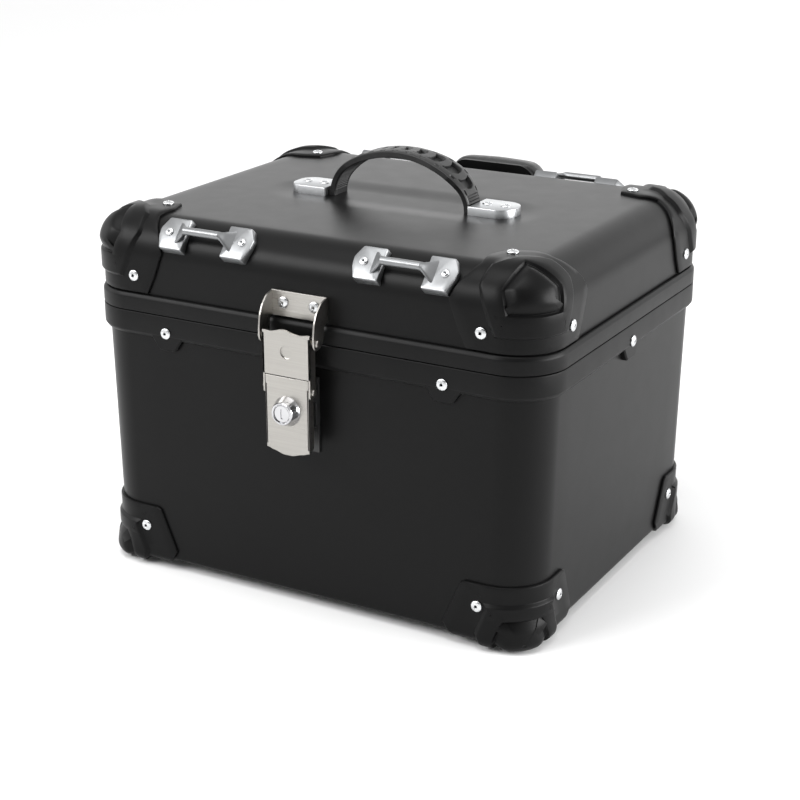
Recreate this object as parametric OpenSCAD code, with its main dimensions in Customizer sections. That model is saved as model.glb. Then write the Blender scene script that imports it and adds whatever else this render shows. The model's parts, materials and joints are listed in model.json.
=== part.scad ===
// Hard top case with a hinged lid, corner guards, tie-down hooks, carrying handle and key latch.
// The origin is the centre of the bolt pattern on the underside of the floor. The latch faces -Y.

/* [Box] */
// Width over the rims
rim_w = 430; // [410:1:450]
// Depth over the rims
rim_d = 345; // [330:1:360]
// Radius of the rims' corners
rim_r = 42.5; // [40:0.5:46]
// Height of the seam between base and lid
seam_z = 225; // [215:1:240]
// Height of the lid's top face
lid_top_z = 303.5; // [296:0.5:316]
// Thickness of the aluminium sheet
sheet_t = 1.6; // [1.2:0.1:2]
// How far the base narrows from its rim to its floor, both sides together
base_taper = 10; // [0:1:14]
// Radius of the lid's rolled top edge
roll_r = 32; // [28:1:34]

/* [Rims] */
// How far the rims stand proud of the walls
rim_proud = 4.5; // [4:0.1:5]
// Height of the base rim
base_rim_h = 20.5; // [19:0.5:22]
// Height of the lid rim
lid_rim_h = 15; // [14:0.5:17]
// Gap between the two rims
seam_gap = 0.6; // [0.4:0.1:1]

/* [Guards] */
// Thickness of a guard's flange
flange_t = 2.6; // [2.2:0.1:3]
// Thickness of a guard's raised layer
raised_t = 5; // [4.5:0.1:5.5]
// Thickness of a guard's dome
dome_t = 7.5; // [7:0.1:8]
// Inset of the guard rivets from the walls' corner planes
guard_rivet_inset = 49; // [47:0.5:50]

/* [Hooks] */
// Distance of a hook's middle from the case's centre plane
hook_x = 92; // [88:1:96]
// Distance between a hook's two rivets
hook_pitch = 71; // [68:1:74]
// Radius of a hook's bar
hook_bar_r = 3.4; // [3:0.1:3.6]
// Height of the bar's axis over the lid's rolled edge
hook_rise = 11.6; // [11:0.1:13]

/* [Handle] */
// Height of the handle's arch over the lid
arch_h = 45; // [42:0.5:48]
// Distance from the centre to the foot of the arch
arch_foot = 69; // [66:1:72]
// Width of the grip
grip_w = 22; // [18:1:24]
// Thickness of the handle's end caps
cap_t = 6; // [5:0.5:7]

/* [Latch] */
// Width of the latch's plates
latch_w = 41; // [38:1:44]
// Height of the latch's upper pin
upper_pin_z = 230; // [228:1:231]
// Height of the latch's lower pin
lower_pin_z = 189; // [187:1:191]
// Height of the lock's axis
lock_z = 171; // [169:1:172]
// Radius of the latch's pins
latch_pin_r = 2; // [1.8:0.1:2.2]

/* [Mounting] */
// Distance between the floor's bolt holes from left to right
bolt_x = 200; // [160:5:240]
// Distance between the floor's bolt holes from front to back
bolt_y = 150; // [120:5:180]
// Radius of the bolt holes, for M6 bolts
bolt_r = 3.3; // [3.2:0.1:3.5]

/* [Hidden] */

$fn = 64;
hull_fn = 32;

wall_w = rim_w - 2 * rim_proud;
wall_d = rim_d - 2 * rim_proud;
wall_r = rim_r - rim_proud;
floor_w = wall_w - base_taper;
floor_edge = 4;
base_wall_top = seam_z - 1;
lid_wall_bottom = seam_z + seam_gap + 1.4;
lid_rim_z = seam_z + seam_gap;
seal_t = 2.4;
seal_x = -rim_proud - sheet_t - seal_t;
hole_play = 0.1;

foot_drop = 8;
base_guard_mid_z = 24;
base_corner_w = floor_w + base_taper * base_guard_mid_z / base_wall_top;

rivet_r = 2.4;
rivet_head_r = 4.8;
rivet_head_h = 2.2;
tail_r = 3.6;
tail_h = 1.6;

base_guard_rivet_z = 30;
lid_guard_rivet_z = 256;
rim_rivet_x = 130;
rim_rivet_z = 210.5;
rim_rivet_grip = rim_proud + sheet_t + 3;

hook_foot_t = 5.2;
hook_bar_half = 17.5;
hook_angle = 49;
roll_y = wall_d / 2 - roll_r;
roll_z = lid_top_z - roll_r;

cap_x = 70;
cap_l = 38;
cap_w = 34;
cap_screw_x = [80, 97];
tang_t = 3;
screw_r = 2;

pad_w = 95;
pad_h = 62.5;
pad_d = 24;
pad_z = 245;
pad_y = wall_d / 2 + 4.5;

hinge_x = 75;
hinge_l = 60;
hinge_r = 4;
hinge_pin_r = 2;
hinge_y = rim_d / 2 + 4.5;
leaf_t = 2;
knuckle_gap = 0.4;
running_play = 0.06;

front_y = -wall_d / 2;
latch_front_y = -190;
upper_pin_y = -185;
lower_pin_y = -185.5;
latch_t = 1.5;
bracket_w = 52;
strike_x = 15;

// ---- Shared shapes ----

// A rectangle with round corners, centred on the origin.
module round_rect(w, d, r) {
    square([w - 2 * r, d], center = true);
    square([w, d - 2 * r], center = true);
    for (x = [-1, 1], y = [-1, 1])
        translate([x * (w / 2 - r), y * (d / 2 - r)]) circle(r);
}

// Sweeps a flat profile round a rectangle with round corners. The profile's x is outward
// from the path and its y is upward.
module swept_ring(w, d, r) {
    for (i = [0 : 3])
        translate([(i == 0 || i == 3 ? 1 : -1) * (w / 2 - r), (i < 2 ? 1 : -1) * (d / 2 - r), 0])
            rotate(90 * i) rotate_extrude(angle = 90) translate([r, 0]) children();
    for (turn = [0, 180]) {
        rotate(turn) translate([w / 2, 0, 0])
            rotate([90, 0, 0]) linear_extrude(d - 2 * r, center = true) children();
        rotate(turn + 90) translate([d / 2, 0, 0])
            rotate([90, 0, 0]) linear_extrude(w - 2 * r, center = true) children();
    }
}

// A cylinder along Y, from y upward.
module rod_y(x, y, z, r, l) {
    translate([x, y, z]) rotate([-90, 0, 0]) cylinder(r = r, h = l);
}

// A cylinder along X, from x upward.
module rod_x(x, y, z, r, l) {
    translate([x, y, z]) rotate([0, 90, 0]) cylinder(r = r, h = l);
}

// A cuboid given by its lowest corner and its size.
module block(corner, size) {
    translate(corner) cube(size);
}

// A blind rivet set in a wall: a low domed head on +Z, a shank through the grip, a tail behind.
module rivet(grip) {
    intersection() {
        cylinder(r = rivet_head_r, h = rivet_head_h);
        translate([0, 0, rivet_head_h - 8]) sphere(8);
    }
    translate([0, 0, -grip - tail_h]) cylinder(r = rivet_r - hole_play, h = grip + tail_h + 0.5);
    translate([0, 0, -grip - tail_h]) cylinder(r = tail_r, h = tail_h);
}

module rivet_facing_front(x, y, z, grip) {
    translate([x, y, z]) rotate([90, 0, 0]) rivet(grip);
}

// Repeats a shape that is drawn for the right-hand rear corner at all four corners.
module four_corners() {
    for (x = [0, 1], y = [0, 1])
        mirror([x, 0, 0]) mirror([0, y, 0]) children();
}

module front_right() { mirror([0, 1, 0]) children(); }
module front_left() { mirror([1, 0, 0]) mirror([0, 1, 0]) children(); }
module rear_left() { mirror([1, 0, 0]) children(); }

// ---- Base ----

// The outer form of the base, which narrows a little towards its floor.
module base_form(inset) {
    hull() {
        translate([0, 0, inset])
            linear_extrude(0.01)
                round_rect(floor_w - 2 * floor_edge, wall_d - 2 * floor_edge, wall_r - floor_edge, $fn = hull_fn);
        translate([0, 0, max(floor_edge, inset)])
            linear_extrude(0.01)
                round_rect(floor_w - 2 * inset, wall_d - 2 * inset, wall_r - inset, $fn = hull_fn);
        translate([0, 0, base_wall_top + inset])
            linear_extrude(0.01)
                round_rect(wall_w - 2 * inset, wall_d - 2 * inset, wall_r - inset, $fn = hull_fn);
    }
}

module base_rivet_holes() {
    for (x = [-1, 1], y = [-1, 1]) {
        rod_y(x * guard_rivet_x, y > 0 ? wall_d / 2 - 12 : -wall_d / 2 - 12, base_guard_rivet_z, rivet_r, 24);
        rod_x(x > 0 ? floor_w / 2 - 12 : -floor_w / 2 - 12, y * guard_rivet_y, base_guard_rivet_z, rivet_r, 24);
    }
    for (x = [-1, 1], y = [-1, 1])
        rod_y(x * rim_rivet_x, y > 0 ? rim_d / 2 - 14 : -rim_d / 2 - 2, rim_rivet_z, rivet_r, 16);
    for (x = [-1, 1])
        rod_x(x > 0 ? rim_w / 2 - 14 : -rim_w / 2 - 2, 0, rim_rivet_z, rivet_r, 16);
}

guard_rivet_x = wall_w / 2 - guard_rivet_inset;
guard_rivet_y = wall_d / 2 - guard_rivet_inset;

module floor_bolt_holes() {
    for (x = [-1, 1], y = [-1, 1])
        translate([x * bolt_x / 2, y * bolt_y / 2, -1]) cylinder(r = bolt_r, h = 12);
}

// The open tub of sheet metal, with no holes in it yet.
module base_wall() {
    difference() {
        base_form(0);
        base_form(sheet_t);
    }
}

module base_shell() {
    color("#1c1d1e")
    difference() {
        base_wall();
        base_rivet_holes();
        hinge_rivet_holes();
        floor_bolt_holes();
        strike_rivet_holes();
    }
}

module base_rim_profile() {
    inner = -rim_proud - sheet_t - 3;
    bottom = seam_z - base_rim_h;
    polygon([
        [inner, bottom + 2], [-rim_proud, bottom], [-2, bottom], [0, bottom + 3],
        [0, seam_z - 1.2], [-1.2, seam_z], [inner, seam_z]
    ]);
}

// A six-sided lug that hangs from the base rim round a rivet, drawn on the front rim.
module rim_lug(x) {
    lug_drop = 9.5;
    translate([x, -rim_d / 2 + rim_proud, 0])
        rotate([90, 0, 0])
            linear_extrude(rim_proud - 0.4)
                polygon([
                    [-17, seam_z - base_rim_h + 0.5], [-8, seam_z - base_rim_h - lug_drop],
                    [8, seam_z - base_rim_h - lug_drop], [17, seam_z - base_rim_h + 0.5]
                ]);
}

module base_rim() {
    color("#161617")
    difference() {
        union() {
            swept_ring(rim_w, rim_d, rim_r) base_rim_profile();
            for (x = [-1, 1], turn = [0, 180])
                rotate(turn) rim_lug(x * rim_rivet_x);
            for (turn = [90, 270])
                rotate(turn) translate([0, rim_d / 2 - rim_w / 2, 0]) rim_lug(0);
        }
        base_wall();
        base_rivet_holes();
        hinge_rivet_holes();
    }
}

module floor_plate() {
    color("#8d8f92")
    difference() {
        translate([0, 0, sheet_t])
            linear_extrude(3)
                round_rect(bolt_x + 44, bolt_y + 44, 14);
        floor_bolt_holes();
    }
}

// ---- Base guards ----

// The section of the base's wall near the floor, filled in to the corner's axis and grown outward.
module base_section(grow, foot, top) {
    edge = floor_edge + grow;
    translate([0, edge - foot]) square([wall_r + grow, top - edge + foot]);
    translate([0, -foot]) square([wall_r + grow - edge, top]);
    intersection() {
        translate([wall_r + grow - edge, edge - foot]) circle(edge);
        translate([0, -foot]) square([wall_r + grow, edge]);
    }
}

// The corner of the base grown outward, drawn for the right-hand rear corner.
module base_corner(grow, foot, top) {
    reach = 96;
    translate([base_corner_w / 2 - wall_r, wall_d / 2 - wall_r, 0]) {
        rotate_extrude(angle = 90) base_section(grow, foot, top);
        rotate([90, 0, 0]) linear_extrude(reach) base_section(grow, foot, top);
        rotate([90, 0, 90]) mirror([0, 0, 1]) linear_extrude(reach) base_section(grow, foot, top);
        block([-reach, -reach, -foot], [reach, reach, top + foot]);
    }
}

// Keeps only what lies inside an outline seen from the front, the side or below. The outline's
// x is the distance in from the corner's wall planes.
module guard_reach(outline, under, depth, w, d) {
    translate([w / 2, d / 2 + 12, 0]) rotate([90, 0, 0])
        linear_extrude(depth) mirror([1, 0]) polygon(outline);
    translate([w / 2 + 12, d / 2, 0]) rotate([90, 0, -90])
        linear_extrude(depth) polygon(outline);
    translate([w / 2, d / 2, under[0]])
        linear_extrude(under[1]) mirror([1, 0]) mirror([0, 1]) polygon(under[2]);
}

base_flange_outline = [[-12, -9], [68, -9], [75, 11], [60, 47], [56, 49], [-12, 49]];
base_raised_outline = [[-12, -9], [42, -9], [46, 6], [36, 31], [33, 33], [-12, 33]];
base_dome_outline = [[-12, -9], [28, -9], [30, 4], [24, 16], [20, 20], [-12, 21]];
base_flange_under = [-9, 12, [[-12, -12], [66, -12], [66, 34], [34, 66], [-12, 66]]];
base_raised_under = [-9, 12, [[-12, -12], [42, -12], [42, 24], [24, 42], [-12, 42]]];
base_dome_under = [-9, 12, [[-12, -12], [32, -12], [32, 20], [20, 32], [-12, 32]]];

module base_guard() {
    color("#131314")
    difference() {
        union() {
            intersection() {
                base_corner(flange_t, flange_t, 60);
                guard_reach(base_flange_outline, base_flange_under, 18, base_corner_w, wall_d);
            }
            intersection() {
                base_corner(raised_t, raised_t + 0.5, 60);
                guard_reach(base_raised_outline, base_raised_under, 18, base_corner_w, wall_d);
            }
            intersection() {
                base_corner(dome_t, foot_drop, 60);
                guard_reach(base_dome_outline, base_dome_under, 18, base_corner_w, wall_d);
            }
        }
        base_form(0);
        base_rivet_holes();
    }
}

module base_guard_front_left() { front_left() base_guard(); }
module base_guard_front_right() { front_right() base_guard(); }
module base_guard_rear_left() { rear_left() base_guard(); }
module base_guard_rear_right() { base_guard(); }

module base_guard_rivets() {
    color("#c9cbce")
    four_corners() {
        translate([guard_rivet_x, wall_d / 2 + flange_t, base_guard_rivet_z])
            rotate([-90, 0, 0]) rivet(flange_t + sheet_t);
        translate([base_corner_w / 2 + flange_t, guard_rivet_y, base_guard_rivet_z])
            rotate([0, 90, 0]) rivet(flange_t + sheet_t);
    }
}

module base_rim_rivets() {
    color("#c9cbce")
    for (turn = [0, 180]) {
        for (x = [-1, 1])
            rotate(turn) rivet_facing_front(x * rim_rivet_x, -rim_d / 2, rim_rivet_z, rim_rivet_grip);
        rotate(turn + 90) rivet_facing_front(0, -rim_w / 2, rim_rivet_z, rim_rivet_grip);
    }
}

// ---- Latch strike on the base ----

strike_rivet_z = [140, 188];

module strike_rivet_holes() {
    for (z = strike_rivet_z)
        rod_y(0, front_y - 6, z, rivet_r, 12);
}

module latch_strike() {
    cheek_y = -180.5;
    cheek_z = lock_z - 16;
    color("#1a1a1b")
    difference() {
        union() {
            block([-strike_x - 2, front_y - 2, 132], [2 * strike_x + 4, 2, 64]);
            for (x = [-strike_x - 2, strike_x])
                block([x, cheek_y, cheek_z], [2, front_y - cheek_y, 28]);
        }
        strike_rivet_holes();
        block([strike_x - 1, cam_y - 1, lock_z - 14], [4, cam_t + 2, 20]);
    }
}

module latch_strike_rivets() {
    color("#c9cbce")
    for (z = strike_rivet_z)
        rivet_facing_front(0, front_y - 2, z, 2 + sheet_t);
}

// ---- Hinges ----

knuckle_l = hinge_l / 3;
leaf_rivet_x = [-20, 20];
hinge_rivet_z = [seam_z - 12, seam_z + 9];
hinge_rivet_r = 1.9;

module hinge_rivet_holes() {
    for (side = [-1, 1], x = leaf_rivet_x, z = hinge_rivet_z)
        rod_y(side * hinge_x + x, rim_d / 2 - 16, z, hinge_rivet_r, 20);
}

module hinge_bore(side) {
    rod_x(side * hinge_x - hinge_l / 2 - 1, hinge_y, seam_z, hinge_pin_r + running_play, hinge_l + 2);
}

module knuckle(side, from, to) {
    rod_x(side * hinge_x + from, hinge_y, seam_z, hinge_r, to - from);
}

module hinge_base_leaf(side) {
    color("#2a2b2c")
    difference() {
        union() {
            block([side * hinge_x - hinge_l / 2, rim_d / 2, seam_z - 18], [hinge_l, leaf_t, 13]);
            for (from = [-hinge_l / 2, hinge_l / 2 - knuckle_l]) {
                knuckle(side, from, from + knuckle_l - knuckle_gap);
                block([side * hinge_x + from, rim_d / 2, seam_z - 6], [knuckle_l - knuckle_gap, leaf_t, 6]);
            }
        }
        hinge_bore(side);
        hinge_rivet_holes();
    }
}

module hinge_lid_leaf(side) {
    color("#2a2b2c")
    difference() {
        union() {
            block([side * hinge_x - hinge_l / 2, rim_d / 2, seam_z + 5], [hinge_l, leaf_t, 10.5]);
            knuckle(side, -knuckle_l / 2 + knuckle_gap, knuckle_l / 2 - knuckle_gap);
            block(
                [side * hinge_x - knuckle_l / 2 + knuckle_gap, rim_d / 2 + 0.2, seam_z + 1],
                [knuckle_l - 2 * knuckle_gap, leaf_t - 0.2, 6]
            );
        }
        hinge_bore(side);
        hinge_rivet_holes();
    }
}

// The pin is headed at both ends and turns in the leaves' bores.
module hinge_pin(side) {
    color("#b9bcc0") {
        rod_x(side * hinge_x - hinge_l / 2 - 1.5, hinge_y, seam_z, hinge_pin_r, hinge_l + 3);
        rod_x(side * hinge_x - hinge_l / 2 - 1.8, hinge_y, seam_z, hinge_pin_r + 1, 1.2);
        rod_x(side * hinge_x + hinge_l / 2 + 0.6, hinge_y, seam_z, hinge_pin_r + 1, 1.2);
    }
}

module hinge_rivet(x, z) {
    grip = leaf_t + rim_proud + sheet_t + 3;
    translate([x, rim_d / 2 + leaf_t, z]) rotate([-90, 0, 0]) {
        intersection() {
            cylinder(r = 3.2, h = 1.5);
            translate([0, 0, 1.5 - 5]) sphere(5);
        }
        translate([0, 0, -grip - 1.5]) cylinder(r = hinge_rivet_r - hole_play, h = grip + 1.8);
        translate([0, 0, -grip - 1.5]) cylinder(r = 3, h = 1.5);
    }
}

module hinge_rivet_row(z) {
    color("#c9cbce")
    for (side = [-1, 1], x = leaf_rivet_x)
        hinge_rivet(side * hinge_x + x, z);
}

module hinge_base_leaf_left() { hinge_base_leaf(-1); }
module hinge_base_leaf_right() { hinge_base_leaf(1); }
module hinge_lid_leaf_left() { hinge_lid_leaf(-1); }
module hinge_lid_leaf_right() { hinge_lid_leaf(1); }
module hinge_pin_left() { hinge_pin(-1); }
module hinge_pin_right() { hinge_pin(1); }
module hinge_base_rivets() { hinge_rivet_row(hinge_rivet_z[0]); }
module hinge_lid_rivets() { hinge_rivet_row(hinge_rivet_z[1]); }

// ---- Lid ----

// The section of the lid's rim-to-top wall, filled in to the corner's axis and grown outward.
module lid_section(grow, bottom) {
    edge = roll_r + grow;
    translate([0, bottom]) square([wall_r + grow, roll_z - bottom]);
    translate([0, bottom]) square([wall_r - roll_r, lid_top_z + grow - bottom]);
    intersection() {
        translate([wall_r - roll_r, roll_z]) circle(edge);
        translate([wall_r - roll_r, roll_z]) square(edge);
    }
}

// The lid's outer form as one solid block.
module lid_form(grow, bottom) {
    swept_ring(wall_w, wall_d, wall_r) translate([-wall_r, 0]) lid_section(grow, bottom);
    block(
        [-wall_w / 2 + wall_r, -wall_d / 2 + wall_r, bottom],
        [wall_w - 2 * wall_r, wall_d - 2 * wall_r, lid_top_z + grow - bottom]
    );
}

// One corner of the lid's form, grown outward, drawn for the right-hand rear corner.
module lid_corner(grow, bottom) {
    reach = 60;
    translate([wall_w / 2 - wall_r, wall_d / 2 - wall_r, 0]) {
        rotate_extrude(angle = 90) lid_section(grow, bottom);
        rotate([90, 0, 0]) linear_extrude(reach) lid_section(grow, bottom);
        rotate([90, 0, 90]) mirror([0, 0, 1]) linear_extrude(reach) lid_section(grow, bottom);
        block([-reach, -reach, bottom], [reach, reach, lid_top_z + grow - bottom]);
    }
}

module lid_rivet_holes() {
    four_corners() {
        rod_y(guard_rivet_x, wall_d / 2 - 12, lid_guard_rivet_z, rivet_r, 24);
        rod_x(wall_w / 2 - 12, guard_rivet_y, lid_guard_rivet_z, rivet_r, 24);
        translate([guard_rivet_x, guard_rivet_y, lid_top_z - 10]) cylinder(r = rivet_r, h = 24);
    }
    at_hook_rivets() cylinder(r = rivet_r, h = 24, center = true);
    for (x = bracket_rivet_x)
        rod_y(x, front_y - 8, bracket_rivet_z, rivet_r, 16);
    at_handle_screws() cylinder(r = screw_r + hole_play, h = 24, center = true);
    at_backrest_screws() cylinder(r = screw_r + hole_play, h = 16, center = true);
}

module lid_shell() {
    color("#1c1d1e")
    difference() {
        lid_form(0, lid_wall_bottom);
        lid_form(-sheet_t, lid_wall_bottom - 1);
        lid_rivet_holes();
        hinge_rivet_holes();
    }
}

module lid_rim_profile() {
    inner = -rim_proud - sheet_t - 3;
    top = lid_rim_z + lid_rim_h;
    difference() {
        polygon([
            [inner, lid_rim_z], [-1.2, lid_rim_z], [0, lid_rim_z + 1.2], [0, top - 4],
            [-0.8, top - 1.6], [-2.6, top], [-rim_proud, top], [-rim_proud, lid_rim_z + 10],
            [inner, lid_rim_z + 10]
        ]);
        translate([-rim_proud - sheet_t, lid_wall_bottom]) square([sheet_t, lid_rim_h]);
        translate([seal_x, lid_rim_z - 1]) square([seal_t, 2]);
    }
}

module lid_rim() {
    color("#161617")
    difference() {
        swept_ring(rim_w, rim_d, rim_r) lid_rim_profile();
        hinge_rivet_holes();
    }
}

module lid_seal() {
    color("#0e0e0e")
    swept_ring(rim_w, rim_d, rim_r)
        translate([seal_x, seam_z + 0.2]) square([seal_t, seam_gap + 0.8]);
}

// ---- Lid guards ----

lid_flange_outline = [
    [-12, 241.6], [62, 241.6], [69, 256], [77, 277], [74, 286], [67, 295], [61, 304], [61, 312], [-12, 312]
];
lid_raised_outline = [
    [-12, 255], [38, 255], [43, 266], [48, 279], [53, 290], [52, 304], [48, 312], [-12, 312]
];
lid_dome_outline = [[-12, 271], [28, 271], [31, 280], [34, 290], [32, 299], [28, 312], [-12, 312]];
lid_flange_top = [
    300, 10, [[-12, -12], [61, -12], [61, 20], [63, 38], [57, 57], [38, 63], [20, 61], [-12, 61]]
];
lid_raised_top = [
    300, 10, [[-12, -12], [52, -12], [52, 16], [42, 30], [38, 38], [30, 42], [16, 52], [-12, 52]]
];
lid_dome_top = [300, 14, [[-12, -12], [33, -12], [33, 14], [26, 22], [22, 26], [14, 33], [-12, 33]]];

module lid_guard() {
    bottom = lid_rim_z + lid_rim_h + 0.2;
    color("#131314")
    difference() {
        union() {
            intersection() {
                lid_corner(flange_t, bottom);
                guard_reach(lid_flange_outline, lid_flange_top, 30, wall_w, wall_d);
            }
            intersection() {
                lid_corner(raised_t, bottom);
                guard_reach(lid_raised_outline, lid_raised_top, 30, wall_w, wall_d);
            }
            intersection() {
                lid_corner(dome_t, bottom);
                guard_reach(lid_dome_outline, lid_dome_top, 30, wall_w, wall_d);
            }
        }
        lid_form(0, bottom - 10);
        lid_rivet_holes();
    }
}

module lid_guard_front_left() { front_left() lid_guard(); }
module lid_guard_front_right() { front_right() lid_guard(); }
module lid_guard_rear_left() { rear_left() lid_guard(); }
module lid_guard_rear_right() { lid_guard(); }

module lid_guard_rivets() {
    color("#c9cbce")
    four_corners() {
        translate([guard_rivet_x, wall_d / 2 + flange_t, lid_guard_rivet_z])
            rotate([-90, 0, 0]) rivet(flange_t + sheet_t);
        translate([wall_w / 2 + flange_t, guard_rivet_y, lid_guard_rivet_z])
            rotate([0, 90, 0]) rivet(flange_t + sheet_t);
        translate([guard_rivet_x, guard_rivet_y, lid_top_z + flange_t])
            rivet(flange_t + sheet_t);
    }
}

// ---- Tie-down hooks ----

// Moves a shape onto the rolled edge at the rear: its +Z stands square off the edge.
module on_roll(x) {
    translate([x, roll_y, roll_z]) rotate([-hook_angle, 0, 0]) translate([0, 0, roll_r]) children();
}

module at_hook_rivets() {
    for (turn = [0, 180], side = [-1, 1], end = [-1, 1])
        rotate(turn) on_roll(side * hook_x + end * hook_pitch / 2) children();
}

// One foot of a hook: a plate with cut corners that hugs the rolled edge. Its rivet is at the
// origin and its bar leaves towards -X.
module hook_foot() {
    seat_depth = 6;
    translate([0, 0, -seat_depth])
        linear_extrude(hook_foot_t + seat_depth)
            polygon([[-16.5, -13.5], [4.5, -13.5], [10, -3.5], [9.5, 4], [5, 15], [-16.5, 15]]);
}

// One end of a hook's bar: a knuckle and a web that widens on its way down to the foot.
module hook_web() {
    knuckle_r = hook_bar_r + 0.8;
    knuckle_half = 5;
    slope = 38;
    web_l = 12.5;
    web_t = 2.4;
    translate([hook_bar_half, 0, hook_rise]) {
        rotate([90, 0, 0]) cylinder(r = knuckle_r, h = 2 * knuckle_half, center = true);
        rotate([0, slope, 0])
            translate([0, 0, -web_t / 2])
                linear_extrude(web_t)
                    polygon([[0, -3], [5, -4.2], [web_l, -11.5], [web_l, 11.5], [5, 4.2], [0, 3]]);
    }
}

module hook_body() {
    rod_x(-hook_bar_half, 0, hook_rise, hook_bar_r, 2 * hook_bar_half);
    for (side = [0, 1])
        mirror([side, 0, 0]) {
            hook_web();
            translate([hook_pitch / 2, 0, 0]) hook_foot();
        }
}

module tie_hook(side) {
    lid_depth = 30;
    color("#d6d8da")
    difference() {
        on_roll(side * hook_x) hook_body();
        on_roll(side * hook_x)
            for (end = [-1, 1])
                translate([end * hook_pitch / 2, 0, 0]) cylinder(r = rivet_r, h = 40, center = true);
        translate([side * hook_x - hook_pitch, wall_d / 2 - wall_r, 0])
            rotate([90, 0, 90])
                linear_extrude(2 * hook_pitch) lid_section(0, roll_z - lid_depth);
    }
}

module tie_hook_front_left() { rotate(180) tie_hook(1); }
module tie_hook_front_right() { rotate(180) tie_hook(-1); }
module tie_hook_rear_left() { tie_hook(-1); }
module tie_hook_rear_right() { tie_hook(1); }

module tie_hook_rivets() {
    color("#c9cbce")
    at_hook_rivets() translate([0, 0, hook_foot_t]) rivet(hook_foot_t + sheet_t + 0.3);
}

// ---- Handle ----

// A point of the arch's side view. A fuller curve has a larger bulge; 2 is an ellipse.
function arch_point(angle, foot, height, bulge) =
    [sign(cos(angle)) * foot * pow(abs(cos(angle)), 2 / bulge), height * pow(sin(angle), 2 / bulge)];
function arch_curve(foot, height, bulge) =
    [for (i = [0 : arch_steps]) arch_point(180 * i / arch_steps, foot, height, bulge)];
function reversed(points) = [for (i = [len(points) - 1 : -1 : 0]) points[i]];
arch_steps = 32;
leg_t = 6;
crown_t = 6.5;

// Half of the grip's outline from above: narrow at the feet and wide under the fingers.
grip_plan = [[0, 13.5], [18, 14], [36, 16], [52, 16], [59, 14.5], [64, 12.5], [arch_foot + 1, grip_w / 2]];

module grip_arch() {
    rotate([90, 0, 0])
        linear_extrude(40, center = true)
            polygon(concat(
                arch_curve(arch_foot, arch_h, 2),
                reversed(arch_curve(arch_foot - leg_t, arch_h - crown_t, 2))
            ));
}

module grip_tang() {
    tang_end = cap_x + cap_l - 6;
    difference() {
        block([arch_foot - leg_t, -grip_w / 2, 0], [tang_end - arch_foot + leg_t, grip_w, tang_t]);
        for (x = cap_screw_x)
            translate([x, 0, -1]) cylinder(r = screw_r + hole_play, h = 10);
    }
}

module handle_grip() {
    color("#101011")
    translate([0, 0, lid_top_z]) {
        intersection() {
            grip_arch();
            linear_extrude(arch_h + 1)
                polygon([
                    for (p = grip_plan) p,
                    for (p = reversed(grip_plan)) [p[0], -p[1]],
                    for (p = grip_plan) [-p[0], -p[1]],
                    for (p = reversed(grip_plan)) [-p[0], p[1]]
                ]);
        }
        for (side = [0, 1])
            mirror([side, 0, 0]) grip_tang();
    }
}

module at_handle_screws() {
    for (side = [-1, 1], x = cap_screw_x)
        translate([side * x, 0, lid_top_z]) children();
}

// A metal cap that clamps one end of the grip: flat towards the arch and round at its outer end.
module handle_cap(side) {
    color("#cdd0d3")
    mirror([side < 0 ? 1 : 0, 0, 0])
    difference() {
        translate([cap_x, 0, lid_top_z])
            linear_extrude(cap_t)
                union() {
                    translate([0, -cap_w / 2]) square([cap_l - 14, cap_w]);
                    translate([cap_l - 14, -cap_w / 2 + 14]) square([14, cap_w - 28]);
                    for (y = [-1, 1])
                        translate([cap_l - 14, y * (cap_w / 2 - 14)]) circle(14);
                }
        block([cap_x - 1, -grip_w / 2 - 0.2, lid_top_z - 1], [cap_l - 4.6, grip_w + 0.4, tang_t + 1.2]);
        for (x = cap_screw_x)
            translate([x, 0, lid_top_z]) cylinder(r = screw_r + hole_play, h = 20);
    }
}

module handle_cap_left() { handle_cap(-1); }
module handle_cap_right() { handle_cap(1); }

module handle_screws() {
    color("#b4b7ba")
    at_handle_screws()
        difference() {
            union() {
                translate([0, 0, cap_t]) cylinder(r = 3.6, h = 1.8);
                translate([0, 0, -6]) cylinder(r = screw_r, h = 6.5 + cap_t);
            }
            translate([0, 0, cap_t + 0.8]) cylinder(r = 2, h = 2, $fn = 6);
        }
}

module handle_backing(side) {
    color("#8d8f92")
    difference() {
        block([side * 88.5 - 17, -15, lid_top_z - sheet_t - 3], [34, 30, 3]);
        at_handle_screws() cylinder(r = screw_r + hole_play, h = 24, center = true);
    }
}

module handle_backing_left() { handle_backing(-1); }
module handle_backing_right() { handle_backing(1); }

// ---- Backrest ----

pad_screw_x = 28;
pad_screw_z = 262;

module at_backrest_screws() {
    for (side = [-1, 1])
        translate([side * pad_screw_x, wall_d / 2, pad_screw_z]) rotate([-90, 0, 0]) children();
}

// Outline of the pad, seen from behind, with large round upper corners.
module pad_outline(inset) {
    translate([0, pad_z + pad_h / 2]) round_rect(pad_w - 2 * inset, pad_h - 2 * inset, 18);
}

module backrest_plate() {
    color("#161617")
    difference() {
        translate([0, pad_y, 0]) rotate([90, 0, 0]) linear_extrude(pad_y - wall_d / 2) pad_outline(3);
        at_backrest_screws() cylinder(r = screw_r + hole_play, h = 16, center = true);
    }
}

module backrest_pad() {
    color("#151516")
    difference() {
        translate([0, pad_y + pad_d, 0]) rotate([90, 0, 0]) linear_extrude(pad_d) pad_outline(0);
        at_backrest_screws() cylinder(r = screw_r + 1, h = 13);
    }
}

module backrest_screws() {
    color("#b4b7ba")
    at_backrest_screws() {
        translate([0, 0, -sheet_t - 2]) cylinder(r = 4, h = 2);
        translate([0, 0, -sheet_t - 2]) cylinder(r = screw_r, h = 14);
    }
}

// ---- Latch on the lid ----

bracket_rivet_x = [-14.5, 14.5];
bracket_rivet_z = 254;
bracket_half = bracket_w / 2;

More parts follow.
